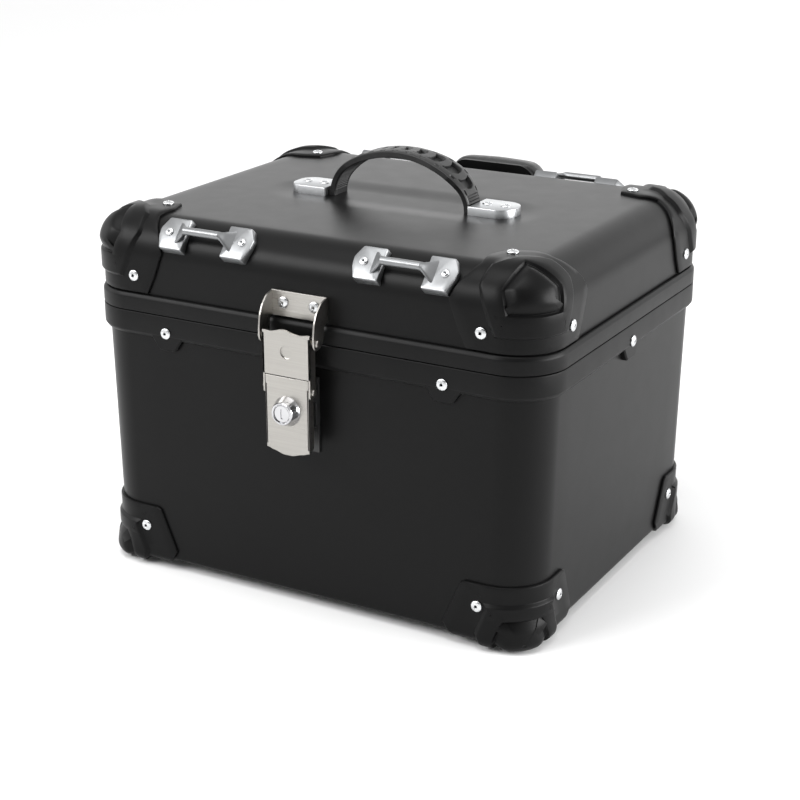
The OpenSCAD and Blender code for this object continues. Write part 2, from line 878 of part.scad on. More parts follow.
// Side view of one of the bracket's ears, which curve outward and down to the upper pin.
module ear_outline() {
    polygon([
        [front_y - 2, 262], [front_y - 2, 243], [-174.5, 242], [-174.5, 228], [-176, 226.5],
        [upper_pin_y + 2, upper_pin_z - 6], [upper_pin_y - 3, upper_pin_z - 5.5],
        [upper_pin_y - 5, upper_pin_z - 2], [upper_pin_y - 5, upper_pin_z + 6], [-187, 246], [-181, 254]
    ]);
}

module latch_bracket() {
    color("#c4c6c8")
    difference() {
        union() {
            block([-bracket_half, front_y - 2, 242.5], [bracket_w, 2, 21]);
            for (x = [-bracket_half, bracket_half - latch_t])
                translate([x, 0, 0]) rotate([90, 0, 90]) linear_extrude(latch_t) ear_outline();
        }
        for (x = bracket_rivet_x)
            rod_y(x, front_y - 8, bracket_rivet_z, rivet_r, 16);
        rod_x(-bracket_half - 1, upper_pin_y, upper_pin_z, latch_pin_r, bracket_w + 2);
    }
}

module latch_bracket_rivets() {
    color("#c9cbce")
    for (x = bracket_rivet_x)
        rivet_facing_front(x, front_y - 2, bracket_rivet_z, 4 + sheet_t);
}

module latch_backing_plate() {
    color("#8d8f92")
    difference() {
        block([-bracket_half, front_y + sheet_t, 245], [bracket_w, 2, 18]);
        for (x = bracket_rivet_x)
            rod_y(x, front_y - 8, bracket_rivet_z, rivet_r, 16);
    }
}

module latch_upper_pin() {
    head_t = 2;
    color("#b9bcc0") {
        rod_x(-bracket_half - 0.5, upper_pin_y, upper_pin_z, latch_pin_r - 0.02, bracket_w + 1);
        for (x = [-bracket_half - 0.1 - head_t, bracket_half + 0.1])
            rod_x(x, upper_pin_y, upper_pin_z, latch_pin_r + 1.5, head_t);
    }
}

// ---- Latch flap ----

flap_half = latch_w / 2 + latch_t;

// Turns an outline seen from the front into sheet metal in the latch's front plane.
module front_sheet() {
    translate([0, latch_front_y + latch_t, 0]) rotate([90, 0, 0]) linear_extrude(latch_t) children();
}

// The flap's front, with a wavy upper edge.
module flap_outline() {
    polygon([
        [-flap_half, 200], [flap_half, 200], [flap_half, 237], [18, 236], [12, 235.5], [6, 237],
        [-2, 239], [-10, 237.5], [-16, 236], [-flap_half, 236]
    ]);
}

module latch_flap() {
    flange_z = lower_pin_z - 5;
    color("#c4c6c8")
    difference() {
        union() {
            front_sheet() flap_outline();
            for (x = [-flap_half, flap_half - latch_t])
                block([x, latch_front_y, flange_z], [latch_t, 10.5, 50]);
            rod_x(-flap_half, upper_pin_y, upper_pin_z, 3.6, 2 * flap_half);
            block([-flap_half, latch_front_y, upper_pin_z - 1], [2 * flap_half, 3, 2]);
        }
        rod_x(-flap_half - 1, upper_pin_y, upper_pin_z, latch_pin_r + running_play, 2 * flap_half + 2);
        rod_x(-flap_half - 1, lower_pin_y, lower_pin_z, latch_pin_r, 2 * flap_half + 2);
        rod_y(0, latch_front_y - 0.6, 220, 5.5, 1.1);
    }
}

module latch_lower_pin() {
    head_t = 2;
    color("#b9bcc0") {
        rod_x(-flap_half - 0.4, lower_pin_y, lower_pin_z, latch_pin_r - 0.02, 2 * flap_half + 0.8);
        for (x = [-flap_half - 0.1 - head_t, flap_half + 0.1])
            rod_x(x, lower_pin_y, lower_pin_z, latch_pin_r + 1.2, head_t);
    }
}

// ---- Lock plate ----

plate_half = latch_w / 2 - 0.4;
lock_r = 9;

// The lock plate's front, with a wavy lower edge.
module lock_plate_outline() {
    polygon([
        [-plate_half, 199.2], [plate_half, 199.2], [plate_half, 138], [12, 136],
        [5, 133.5], [-5, 133.5], [-12, 136], [-plate_half, 138]
    ]);
}

module lock_plate() {
    color("#c4c6c8")
    difference() {
        union() {
            front_sheet() lock_plate_outline();
            for (x = [-plate_half, plate_half - latch_t])
                block([x, latch_front_y, 139], [latch_t, 9, 54]);
            rod_x(-plate_half, lower_pin_y, lower_pin_z, 3.6, 2 * plate_half);
            block([-plate_half, latch_front_y, lower_pin_z - 1], [2 * plate_half, 2.5, 2]);
        }
        rod_x(-plate_half - 1, lower_pin_y, lower_pin_z, latch_pin_r + running_play, 2 * plate_half + 2);
        rod_y(0, latch_front_y - 1, lock_z, lock_r + hole_play, 4);
    }
}

plug_r = 7.2;
cam_screw_r = 1.5;
bezel_r = 12.5;
lock_front_y = -199;
lock_back_y = -177;
cam_gap = 0.2;
cam_t = 2;
cam_y = lock_back_y + cam_gap;

module lock_housing() {
    color("#dfe1e3")
    difference() {
        union() {
            rod_y(0, lock_front_y, lock_z, lock_r, lock_back_y - lock_front_y);
            translate([0, lock_front_y, lock_z]) rotate([-90, 0, 0])
                cylinder(r1 = lock_r + 0.2, r2 = bezel_r, h = latch_front_y - lock_front_y);
        }
        rod_y(0, lock_front_y - 1, lock_z, plug_r + running_play, lock_back_y - lock_front_y + 2);
    }
}

module lock_nut() {
    color("#a9acaf")
    difference() {
        rod_y(0, latch_front_y + latch_t, lock_z, lock_r + 3, 3, $fn = 6);
        rod_y(0, latch_front_y, lock_z, lock_r, 8);
    }
}

module key_cylinder() {
    color("#cfd1d3")
    difference() {
        rod_y(0, lock_front_y + 1, lock_z, plug_r, cam_y - lock_front_y - 1);
        block([-1.2, lock_front_y, lock_z - 4], [2.4, 10, 8]);
        rod_y(0, cam_y - 6, lock_z, cam_screw_r, 8);
    }
}

module lock_cam() {
    cam_l = 18;
    color("#a9acaf")
    difference() {
        union() {
            rod_y(0, cam_y, lock_z, 6, cam_t);
            block([-3.5, cam_y, lock_z - cam_l], [7, cam_t, cam_l]);
        }
        rod_y(0, cam_y - 1, lock_z, cam_screw_r, 4);
    }
}

module cam_screw() {
    color("#b4b7ba") {
        rod_y(0, cam_y - 5, lock_z, cam_screw_r - 0.02, 5 + cam_t);
        rod_y(0, cam_y + cam_t, lock_z, 3, 1.4);
    }
}

base_shell();
base_rim();
floor_plate();
base_guard_front_left();
base_guard_front_right();
base_guard_rear_left();
base_guard_rear_right();
base_guard_rivets();
base_rim_rivets();
latch_strike();
latch_strike_rivets();
hinge_base_leaf_left();
hinge_base_leaf_right();
hinge_pin_left();
hinge_pin_right();
hinge_base_rivets();
lid_shell();
lid_rim();
lid_seal();
lid_guard_front_left();
lid_guard_front_right();
lid_guard_rear_left();
lid_guard_rear_right();
lid_guard_rivets();
tie_hook_front_left();
tie_hook_front_right();
tie_hook_rear_left();
tie_hook_rear_right();
tie_hook_rivets();
handle_grip();
handle_cap_left();
handle_cap_right();
handle_screws();
handle_backing_left();
handle_backing_right();
backrest_plate();
backrest_pad();
backrest_screws();
hinge_lid_leaf_left();
hinge_lid_leaf_right();
hinge_lid_rivets();
latch_bracket();
latch_bracket_rivets();
latch_backing_plate();
latch_upper_pin();
latch_flap();
latch_lower_pin();
lock_plate();
lock_housing();
lock_nut();
key_cylinder();
lock_cam();
cam_screw();
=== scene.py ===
"""A hard motorcycle top case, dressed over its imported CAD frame."""

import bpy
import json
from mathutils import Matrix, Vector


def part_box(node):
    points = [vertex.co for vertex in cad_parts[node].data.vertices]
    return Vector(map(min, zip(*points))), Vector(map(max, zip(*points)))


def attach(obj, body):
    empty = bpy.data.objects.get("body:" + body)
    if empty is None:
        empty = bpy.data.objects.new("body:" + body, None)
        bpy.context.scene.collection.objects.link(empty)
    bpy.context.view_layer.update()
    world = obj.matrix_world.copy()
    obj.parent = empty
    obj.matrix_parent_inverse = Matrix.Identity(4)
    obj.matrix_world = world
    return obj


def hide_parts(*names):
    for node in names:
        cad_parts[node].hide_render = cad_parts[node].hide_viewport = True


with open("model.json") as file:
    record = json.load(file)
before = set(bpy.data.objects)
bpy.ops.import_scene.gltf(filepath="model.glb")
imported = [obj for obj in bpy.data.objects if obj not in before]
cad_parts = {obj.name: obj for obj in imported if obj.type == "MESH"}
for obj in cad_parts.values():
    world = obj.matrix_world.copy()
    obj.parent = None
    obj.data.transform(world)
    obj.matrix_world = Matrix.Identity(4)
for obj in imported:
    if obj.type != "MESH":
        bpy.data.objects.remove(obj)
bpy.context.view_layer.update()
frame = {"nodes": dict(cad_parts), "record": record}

import json
import math

import bmesh
import bpy
import numpy as np
from mathutils import Vector

MM = 0.001

# ---- Sizes of the frame, in millimetres ----


def node_box(name):
    low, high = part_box(name)
    return np.array(low) / MM, np.array(high) / MM


LID_LOW, LID_HIGH = node_box("lid_shell")
RIM_LOW, RIM_HIGH = node_box("lid_rim")
WALL_X, WALL_Y = LID_HIGH[0], LID_HIGH[1]
LID_TOP = LID_HIGH[2]
RIM_X, RIM_Y = RIM_HIGH[0], RIM_HIGH[1]
SEAM = node_box("base_rim")[1][2]
BASE_RIM_H = 20.5
RIM_R = 42.5
RIM_INNER = -9.1
WALL_R = 38.0
ROLL_R = 32.0
FLOOR_X = 205.5
BASE_CORNER_X = FLOOR_X + 0.5
FLOOR_EDGE = 4.0
BASE_TOP = 224.0
SHEET = 1.6
CORE_X, CORE_Y = WALL_X - WALL_R, WALL_Y - WALL_R
ROLL_Z = LID_TOP - ROLL_R
FLANGE, RAISED, DOME, FOOT = 2.6, 5.0, 7.5, 8.0
WINDOW = 2.7
SEAT = -0.4
GUARD_INSET = 49.0
LID_GUARD_RIVET_Z = 256.0
BASE_GUARD_RIVET_Z = 30.0
RIM_RIVET_X, RIM_RIVET_Z = 130.0, 210.5
HINGE_X, HINGE_RIVET_X = 75.0, 20.0
HOOK_X, HOOK_PITCH, HOOK_FOOT_T = 92.0, 71.0, 5.2
HOOK_BAR_R, HOOK_RISE, HOOK_ANGLE = 3.4, 11.6, math.radians(49)

# ---- Materials ----


class Nodes:
    """A small builder of one material's node tree."""

    def __init__(self, name, color, roughness, metallic=0.0, specular=0.5, **sockets):
        self.mat = bpy.data.materials.new(name)
        self.mat.use_nodes = True
        self.tree = self.mat.node_tree
        self.bsdf = self.tree.nodes["Principled BSDF"]
        self.bsdf.inputs["Base Color"].default_value = (*color, 1)
        self.bsdf.inputs["Roughness"].default_value = roughness
        self.bsdf.inputs["Metallic"].default_value = metallic
        self.bsdf.inputs["Specular IOR Level"].default_value = specular
        for key, value in sockets.items():
            self.bsdf.inputs[key.replace("_", " ")].default_value = value
        self.height = None
        coord = self.tree.nodes.new("ShaderNodeTexCoord")
        self.coord = coord.outputs["Object"]

    def add(self, kind, **inputs):
        node = self.tree.nodes.new(kind)
        for key, value in inputs.items():
            socket = node.inputs[key.replace("_", " ")]
            if isinstance(value, bpy.types.NodeSocket):
                self.tree.links.new(value, socket)
            else:
                socket.default_value = value
        return node

    def noise(self, scale, detail=3.0, stretch=(1, 1, 1)):
        mapping = self.add("ShaderNodeMapping", Vector=self.coord, Scale=stretch)
        return self.add(
            "ShaderNodeTexNoise", Vector=mapping.outputs[0], Scale=scale, Detail=detail
        ).outputs["Fac"]

    def cells(self, scale):
        return self.add("ShaderNodeTexVoronoi", Vector=self.coord, Scale=scale).outputs["Distance"]

    def spread(self, value, low, high):
        return self.add(
            "ShaderNodeMapRange", Value=value, From_Min=0.3, From_Max=0.7, To_Min=low, To_Max=high
        ).outputs[0]

    def rough(self, value, low, high):
        self.tree.links.new(self.spread(value, low, high), self.bsdf.inputs["Roughness"])

    def tint(self, value, dark, light):
        mix = self.tree.nodes.new("ShaderNodeMix")
        mix.data_type = "RGBA"
        self.tree.links.new(self.spread(value, 0, 1), mix.inputs["Factor"])
        mix.inputs["A"].default_value = (*dark, 1)
        mix.inputs["B"].default_value = (*light, 1)
        self.tree.links.new(mix.outputs["Result"], self.bsdf.inputs["Base Color"])

    def bump(self, value, strength, distance):
        bump = self.add("ShaderNodeBump", Height=value, Strength=strength, Distance=distance)
        if self.height is not None:
            self.tree.links.new(self.height, bump.inputs["Normal"])
        self.height = bump.outputs[0]
        self.tree.links.new(self.height, self.bsdf.inputs["Normal"])


def grey(value):
    return (value, value, value * 1.02)


def powder_coat():
    m = Nodes("powder_coat", grey(0.0035), 0.35, specular=0.13)
    m.rough(m.noise(60, 4), 0.34, 0.36)
    m.tint(m.noise(14, 3), grey(0.0032), grey(0.0038))
    m.bump(m.noise(1500, 2), 0.1, 0.00006)
    return m.mat


def rim_coat():
    m = Nodes("rim_coat", grey(0.0035), 0.4, specular=0.13)
    m.rough(m.noise(50, 4), 0.38, 0.42)
    m.tint(m.noise(20, 3), grey(0.0036), grey(0.0048))
    m.bump(m.noise(1300, 2), 0.12, 0.00006)
    return m.mat


def guard_plastic():
    m = Nodes("guard_plastic", grey(0.003), 0.36, specular=0.12)
    m.rough(m.noise(45, 4), 0.34, 0.39)
    m.tint(m.noise(25, 4), grey(0.003), grey(0.0042))
    m.bump(m.cells(1700), 0.1, 0.0001)
    return m.mat


def grip_rubber():
    m = Nodes("grip_rubber", grey(0.006), 0.42, specular=0.5)
    m.rough(m.noise(90, 4), 0.38, 0.46)
    m.tint(m.noise(60, 3), grey(0.005), grey(0.008))
    m.bump(m.noise(1800, 3), 0.2, 0.0001)
    return m.mat


def seal_rubber():
    m = Nodes("seal_rubber", grey(0.006), 0.7, specular=0.3)
    m.rough(m.noise(120, 3), 0.62, 0.78)
    m.bump(m.noise(900, 3), 0.2, 0.0001)
    return m.mat


def pad_leather():
    m = Nodes("pad_leather", grey(0.012), 0.5, specular=0.45, Sheen_Weight=0.15)
    m.tint(m.noise(30, 4), grey(0.010), grey(0.017))
    m.rough(m.noise(200, 3), 0.42, 0.58)
    m.bump(m.cells(620), 0.45, 0.0004)
    m.bump(m.noise(1500, 3), 0.2, 0.0001)
    return m.mat


def brushed_steel():
    m = Nodes("brushed_steel", (0.37, 0.357, 0.335), 0.3, metallic=1.0)
    streak = m.noise(420, 5, (0.04, 1, 2.4))
    m.rough(streak, 0.27, 0.34)
    m.tint(m.noise(380, 4, (0.04, 1, 2.2)), (0.355, 0.343, 0.322), (0.39, 0.377, 0.355))
    m.bump(streak, 0.03, 0.00003)
    return m.mat


def zinc_steel():
    m = Nodes("zinc_steel", (0.5, 0.5, 0.51), 0.38, metallic=1.0)
    m.tint(m.cells(220), (0.42, 0.42, 0.43), (0.56, 0.56, 0.58))
    m.rough(m.noise(150, 4), 0.32, 0.48)
    m.bump(m.noise(900, 3), 0.15, 0.00008)
    return m.mat


def cast_hook():
    m = Nodes("cast_hook", (0.24, 0.245, 0.25), 0.36, metallic=1.0)
    m.rough(m.noise(90, 4), 0.33, 0.4)
    m.tint(m.noise(70, 4), (0.225, 0.23, 0.235), (0.255, 0.26, 0.265))
    m.bump(m.noise(260, 3), 0.08, 0.0002)
    return m.mat


def satin_cap():
    m = Nodes("satin_cap", (0.5, 0.51, 0.52), 0.36, metallic=1.0)
    m.rough(m.noise(400, 4), 0.3, 0.4)
    m.tint(m.noise(80, 3), (0.48, 0.49, 0.5), (0.52, 0.53, 0.54))
    m.bump(m.noise(2200, 2), 0.15, 0.00006)
    return m.mat


def rivet_metal():
    m = Nodes("rivet_metal", (0.66, 0.67, 0.68), 0.3, metallic=1.0)
    m.rough(m.noise(500, 3), 0.2, 0.34)
    m.tint(m.noise(300, 3), (0.6, 0.61, 0.62), (0.72, 0.73, 0.74))
    m.bump(m.noise(1200, 3), 0.15, 0.0001)
    return m.mat


def lock_chrome():
    m = Nodes("lock_chrome", (0.5, 0.5, 0.51), 0.1, metallic=1.0)
    m.rough(m.noise(120, 4), 0.05, 0.12)
    m.tint(m.noise(60, 3), (0.47, 0.47, 0.48), (0.54, 0.54, 0.55))
    m.bump(m.noise(300, 2), 0.03, 0.0001)
    return m.mat


def hinge_black():
    m = Nodes("hinge_black", grey(0.012), 0.4, specular=0.5)
    m.rough(m.noise(120, 4), 0.34, 0.5)
    m.tint(m.noise(90, 4), grey(0.009), grey(0.018))
    m.bump(m.noise(1400, 3), 0.2, 0.00008)
    return m.mat


MATERIALS = {
    "black_sheet": powder_coat(),
    "black_rim": rim_coat(),
    "guard_plastic": guard_plastic(),
    "rivet_metal": rivet_metal(),
    "cast_hook": cast_hook(),
    "satin_cap": satin_cap(),
    "grip_rubber": grip_rubber(),
    "seal_rubber": seal_rubber(),
    "latch_steel": brushed_steel(),
    "lock_chrome": lock_chrome(),
    "hidden_steel": zinc_steel(),
    "hinge_black": hinge_black(),
    "pad_leather": pad_leather(),
}
NODE_SLOT = {s["node"]: s["material_slot"] for s in frame["record"]["subparts"]}
NODE_BODY = {n: b for b, ns in frame["record"]["behaviour"]["bodies"].items() for n in ns}

# ---- Mesh helpers, in millimetres ----


def linked(name, data):
    """A new object in the scene."""
    obj = bpy.data.objects.new(name, data)
    bpy.context.scene.collection.objects.link(obj)
    return obj


def closed_mesh(name, verts, faces, weld=0.0):
    """A mesh from points in millimetres, with its faces turned outward."""
    mesh = bpy.data.meshes.new(name)
    mesh.from_pydata([tuple(np.asarray(v, float) * MM) for v in verts], [], faces)
    bm = bmesh.new()
    bm.from_mesh(mesh)
    if weld:
        bmesh.ops.remove_doubles(bm, verts=bm.verts, dist=weld)
    bmesh.ops.recalc_face_normals(bm, faces=bm.faces)
    bm.to_mesh(mesh)
    bm.free()
    return mesh


def dress(obj, node):
    """Lets a piece stand for a CAD node: it joins the node's body, takes the material of the node's slot,
    and the node is hidden.
    """
    slot = NODE_SLOT[node]
    obj.data.materials.clear()
    obj.data.materials.append(MATERIALS[slot])
    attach(obj, NODE_BODY[node])
    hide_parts(node)


def apply_modifiers(obj):
    bpy.context.view_layer.update()
    graph = bpy.context.evaluated_depsgraph_get()
    mesh = bpy.data.meshes.new_from_object(obj.evaluated_get(graph))
    obj.modifiers.clear()
    obj.data = mesh
    return mesh


def bevelled(obj, width, angle=32):
    """Rounds a piece's sharp edges."""
    mod = obj.modifiers.new("bevel", "BEVEL")
    mod.width = width * MM
    mod.segments = 2
    mod.limit_method = "ANGLE"
    mod.angle_limit = math.radians(angle)
    mod.use_clamp_overlap = True
    mod.harden_normals = True
    apply_modifiers(obj)


def cut(obj, shape):
    """Takes a closed shape away from a piece."""
    tool = linked("cutter", closed_mesh("cutter", shape.verts, shape.faces))
    mod = obj.modifiers.new("cut", "BOOLEAN")
    mod.operation = "DIFFERENCE"
    mod.solver = "EXACT"
    mod.object = tool
    apply_modifiers(obj)
    bpy.data.objects.remove(tool)


class Shape:
    """Collects closed meshes before they become one piece."""

    def __init__(self):
        self.verts, self.faces = [], []

    def add(self, verts, faces):
        start = len(self.verts)
        self.verts.extend(np.asarray(verts, float).tolist())
        self.faces.extend([tuple(start + i for i in f) for f in faces])
        return self

    def prism(self, outline, place, low, high):
        """An outline (a, b) pushed along c from low to high. place(a, b, c) gives the point."""
        n = len(outline)
        verts = [place(a, b, c) for c in (low, high) for a, b in outline]
        sides = [(i, (i + 1) % n, n + (i + 1) % n, n + i) for i in range(n)]
        return self.add(verts, sides + [tuple(range(n))[::-1], tuple(range(n, 2 * n))])

    def lathe(self, profile, place, steps=32):
        """A profile (radius, height) turned round an axis. Its ends lie on the axis."""
        inner = profile[1:-1]
        n = len(inner)
        turns = [2 * math.pi * k / steps for k in range(steps)]
        verts = [
            place(r * math.cos(t), r * math.sin(t), h) for t in turns for r, h in inner
        ]
        verts += [place(0, 0, profile[0][1]), place(0, 0, profile[-1][1])]
        first, last = len(verts) - 2, len(verts) - 1
        faces = []
        for k in range(steps):
            a, b = k * n, ((k + 1) % steps) * n
            faces.append((first, a, b))
            faces.extend((a + i, a + i + 1, b + i + 1, b + i) for i in range(n - 1))
            faces.append((last, b + n - 1, a + n - 1))
        return self.add(verts, faces)

    def rings(self, rings, cap=False, loop=False):
        """Skins a list of rings with the same number of points."""
        n, count = len(rings[0]), len(rings)
        verts = [p for ring in rings for p in ring]
        faces = []
        for j in range(count if loop else count - 1):
            a, b = j * n, ((j + 1) % count) * n
            faces.extend((a + i, a + (i + 1) % n, b + (i + 1) % n, b + i) for i in range(n))
        if cap:
            faces.append(tuple(range(n))[::-1])
            faces.append(tuple(range((count - 1) * n, count * n)))
        return self.add(verts, faces)

    def piece(self, name, node, angle=38):
        """A new piece that stands for a CAD node. Edges over the angle, in degrees, stay sharp."""
        mesh = closed_mesh(name, self.verts, self.faces, 1e-6)
        mesh.shade_smooth()
        mesh.set_sharp_from_angle(angle=math.radians(angle))
        obj = linked(name, mesh)
        dress(obj, node)
        return obj


def rounded(points, radius, steps=3):
    """A closed outline with each corner rounded off."""
    points = [np.array(p, float) for p in points]
    out = []
    for i, p in enumerate(points):
        a, b = points[i - 1] - p, points[(i + 1) % len(points)] - p
        la, lb = np.linalg.norm(a), np.linalg.norm(b)
        reach = min(radius, la * 0.45, lb * 0.45)
        start, end = p + a / la * reach, p + b / lb * reach
        for t in np.linspace(0, 1, steps + 1):
            out.append(tuple((1 - t) ** 2 * start + 2 * t * (1 - t) * p + t**2 * end))
    return out


def smoothstep(x):
    x = np.clip(x, 0, 1)
    return x * x * (3 - 2 * x)


def ring_path(half_x, half_y, arc_steps=12, x_steps=2, y_steps=2):
    """Points of the rectangle that a round-cornered outline grows from, and its outward normals."""
    base, normal = [], []
    corners = [(1, 1), (-1, 1), (-1, -1), (1, -1)]
    for k, (sx, sy) in enumerate(corners):
        for t in np.linspace(0, 1, arc_steps + 1):
            a = math.pi / 2 * (k + t)
            base.append((sx * half_x, sy * half_y))
            normal.append((math.cos(a), math.sin(a)))
        steps = x_steps if k % 2 == 0 else y_steps
        nx, ny = corners[(k + 1) % 4]
        for t in np.linspace(0, 1, steps + 1)[1:-1]:
            base.append((
                half_x * (sx + (nx - sx) * t), half_y * (sy + (ny - sy) * t)
            ))
            a = math.pi / 2 * (k + 1)
            normal.append((math.cos(a), math.sin(a)))
    return np.array(base), np.array(normal)


def at_height(points, z):
    z = np.broadcast_to(z, len(points))
    return np.column_stack([points, z])


# ---- Lid shell ----


def lid_dent(x, y):
    """How far the lid's top is pressed in round the handle."""
    reach = np.hypot(np.maximum(np.abs(x) - 84, 0), y)
    return 1.6 * smoothstep((46 - reach) / 32)


def lid_skin(grow):
    """Rings of the lid's outside, from its lower edge to the middle of its top."""
    base, normal = ring_path(CORE_X, CORE_Y, 14, 96, 72)
    rings = []
    for z in np.linspace(LID_LOW[2], ROLL_Z, 5):
        rings.append(at_height(base + normal * (WALL_R + grow), z))
    edge = ROLL_R + grow
    for a in np.radians(np.linspace(0, 90, 19)[1:]):
        reach = WALL_R - ROLL_R + edge * math.cos(a)
        rings.append(at_height(base + normal * reach, ROLL_Z + edge * math.sin(a)))
    rings.append(at_height(base, LID_TOP + grow))
    for s in np.linspace(1, 0.012, 46)[1:]:
        flat = base * s
        rings.append(at_height(flat, LID_TOP + grow - lid_dent(flat[:, 0], flat[:, 1])))
    return rings


def build_lid_shell():
    rings = lid_skin(0)[::-1] + lid_skin(-SHEET)
    Shape().rings(rings, cap=True).piece("lid_shell_skin", "lid_shell", 50)


# ---- Base shell ----


def base_half_x(z):
    """The walls lean out a little from the floor to the rim."""
    return FLOOR_X + (WALL_X - FLOOR_X) * np.clip((z - FLOOR_EDGE) / (BASE_TOP - FLOOR_EDGE), 0, 1)


def base_skin(inset):
    """Rings of the base's outside, from its upper edge to the middle of its floor."""
    rings = []
    for z in np.linspace(BASE_TOP, FLOOR_EDGE + 2, 9):
        base, normal = ring_path(base_half_x(z) - WALL_R, CORE_Y, 14, 12, 10)
        rings.append(at_height(base + normal * (WALL_R - inset), z))
    edge = FLOOR_EDGE - inset
    base, normal = ring_path(FLOOR_X - WALL_R, CORE_Y, 14, 12, 10)
    for a in np.radians(np.linspace(0, 90, 6)):
        reach = WALL_R - inset - edge * (1 - math.cos(a))
        rings.append(at_height(base + normal * reach, inset + edge * (1 - math.sin(a))))
    for part in (1.0, 0.6, 0.2):
        rings.append(at_height(base * part, inset))
    return rings


def build_base_shell():
    rings = base_skin(0)[::-1] + base_skin(SHEET)
    Shape().rings(rings, cap=True).piece("base_shell_skin", "base_shell", 50)


# ---- Rims ----


def sweep_profile(shape, profile):
    """Sweeps a closed profile (outward, height) round the rim's outline."""
    base, normal = ring_path(RIM_X - RIM_R, RIM_Y - RIM_R, 16, 2, 2)
    rings = []
    for out, z in profile:
        rings.append(at_height(base + normal * (RIM_R + out), z))
    return shape.rings(rings, loop=True)


def build_rims():
    top, low = RIM_HIGH[2], RIM_LOW[2]
    profile = rounded(
        [
            (RIM_INNER, low), (0, low), (0, top - 3.4), (-1.7, top - 0.2), (-4.2, top),
            (-4.6, top - 4), (-6.1, top - 4), (-6.1, low + 10), (RIM_INNER, low + 10),
        ],
        0.9, 3,
    )
    sweep_profile(Shape(), profile).piece("lid_rim_band", "lid_rim")
    top, low = SEAM, SEAM - BASE_RIM_H
    profile = rounded(
        [
            (RIM_INNER, low + 2), (-4.5, low), (-2.4, low), (0, low + 3.4), (0, top),
            (RIM_INNER, top),
        ],
        0.9, 3,
    )
    shape = sweep_profile(Shape(), profile)
    for side in (-1, 1):
        for x in (-RIM_RIVET_X, RIM_RIVET_X):
            rim_lug(shape, lambda a, b, c, x=x, s=side: (x + a, s * (WALL_Y + c), b))
        rim_lug(shape, lambda a, b, c, s=side: (s * (WALL_X + c), a, b))
    shape.piece("base_rim_band", "base_rim")


def rim_lug(shape, place):
    """A tapered tab below the base rim, round one rivet."""
    low = SEAM - BASE_RIM_H
    rings = []
    for half_top, half_foot, drop, height in ((17, 8, 9.5, -1.0), (17, 8, 9.5, 3.0), (15.6, 7.2, 8.4, 4.1)):
        outline = rounded(
            [(-half_top, low + 4), (-half_foot, low - drop), (half_foot, low - drop), (half_top, low + 4)],
            1.5, 3,
        )
        rings.append([place(a, b, height) for a, b in outline])
    shape.rings(rings, cap=True)


# ---- Corner guards ----

# How many steps a guard's half outline has along the corner, the wall, the shoulder and the crown.
COUNTS = (14, 10, 8, 8)


def past_corner(a, b):
    """Distance past a square corner: negative inside both a and b, round outside them."""
    return np.hypot(np.maximum(a, 0), np.maximum(b, 0)) + np.minimum(np.maximum(a, b), 0)


def lid_distance(p):
    """Distance of points from the lid's outside."""
    reach = past_corner(p[:, 0] - CORE_X, p[:, 1] - CORE_Y)
    return past_corner(reach - (WALL_R - ROLL_R), p[:, 2] - ROLL_Z) - ROLL_R


def base_distance(p):
    """Distance of points from the base's outside."""
    reach = past_corner(p[:, 0] - (base_half_x(p[:, 2]) - WALL_R), p[:, 1] - CORE_Y)
    return past_corner(reach - (WALL_R - FLOOR_EDGE), FLOOR_EDGE - p[:, 2]) - FLOOR_EDGE


def project(points, heights, centre, distance):
    """Moves points along the rays from a centre until each is at its height above the form."""
    points = np.asarray(points, float)
    direction = points - centre
    direction /= np.linalg.norm(direction, axis=1)[:, None]
    low, high = np.zeros(len(points)), np.full(len(points), 160.0)
    for _ in range(40):
        mid = (low + high) / 2
        inside = distance(centre + direction * mid[:, None]) < heights
        low, high = np.where(inside, mid, low), np.where(inside, high, mid)
    return centre + direction * low[:, None]


def resample(points, count):
    """Evenly spaced points along a path."""
    points = np.asarray(points, float)
    steps = np.r_[0, np.cumsum(np.linalg.norm(np.diff(points, axis=0), axis=1))]
    at = np.linspace(0, steps[-1], count + 1)
    return np.column_stack([np.interp(at, steps, points[:, k]) for k in range(3)])


def full_loop(segments, counts, wall_x, wall_y):
    """A loop from half of it: each segment is sampled, then mirrored across the corner's diagonal."""
    half = [resample(s, c)[:-1] for s, c in zip(segments, counts)]
    half = np.vstack(half + [np.asarray(segments[-1][-1], float)[None]])
    mirrored = half[1:-1][::-1].copy()
    mirrored = np.column_stack([
        wall_x - (wall_y - mirrored[:, 1]), wall_y - (wall_x - mirrored[:, 0]), mirrored[:, 2]
    ])
    return np.vstack([half, mirrored])


def away(loop, apex, distance):
    """A loop grown by a distance away from the apex, or shrunk toward it."""
    step = loop - apex
    return loop + step / np.linalg.norm(step, axis=1)[:, None] * distance


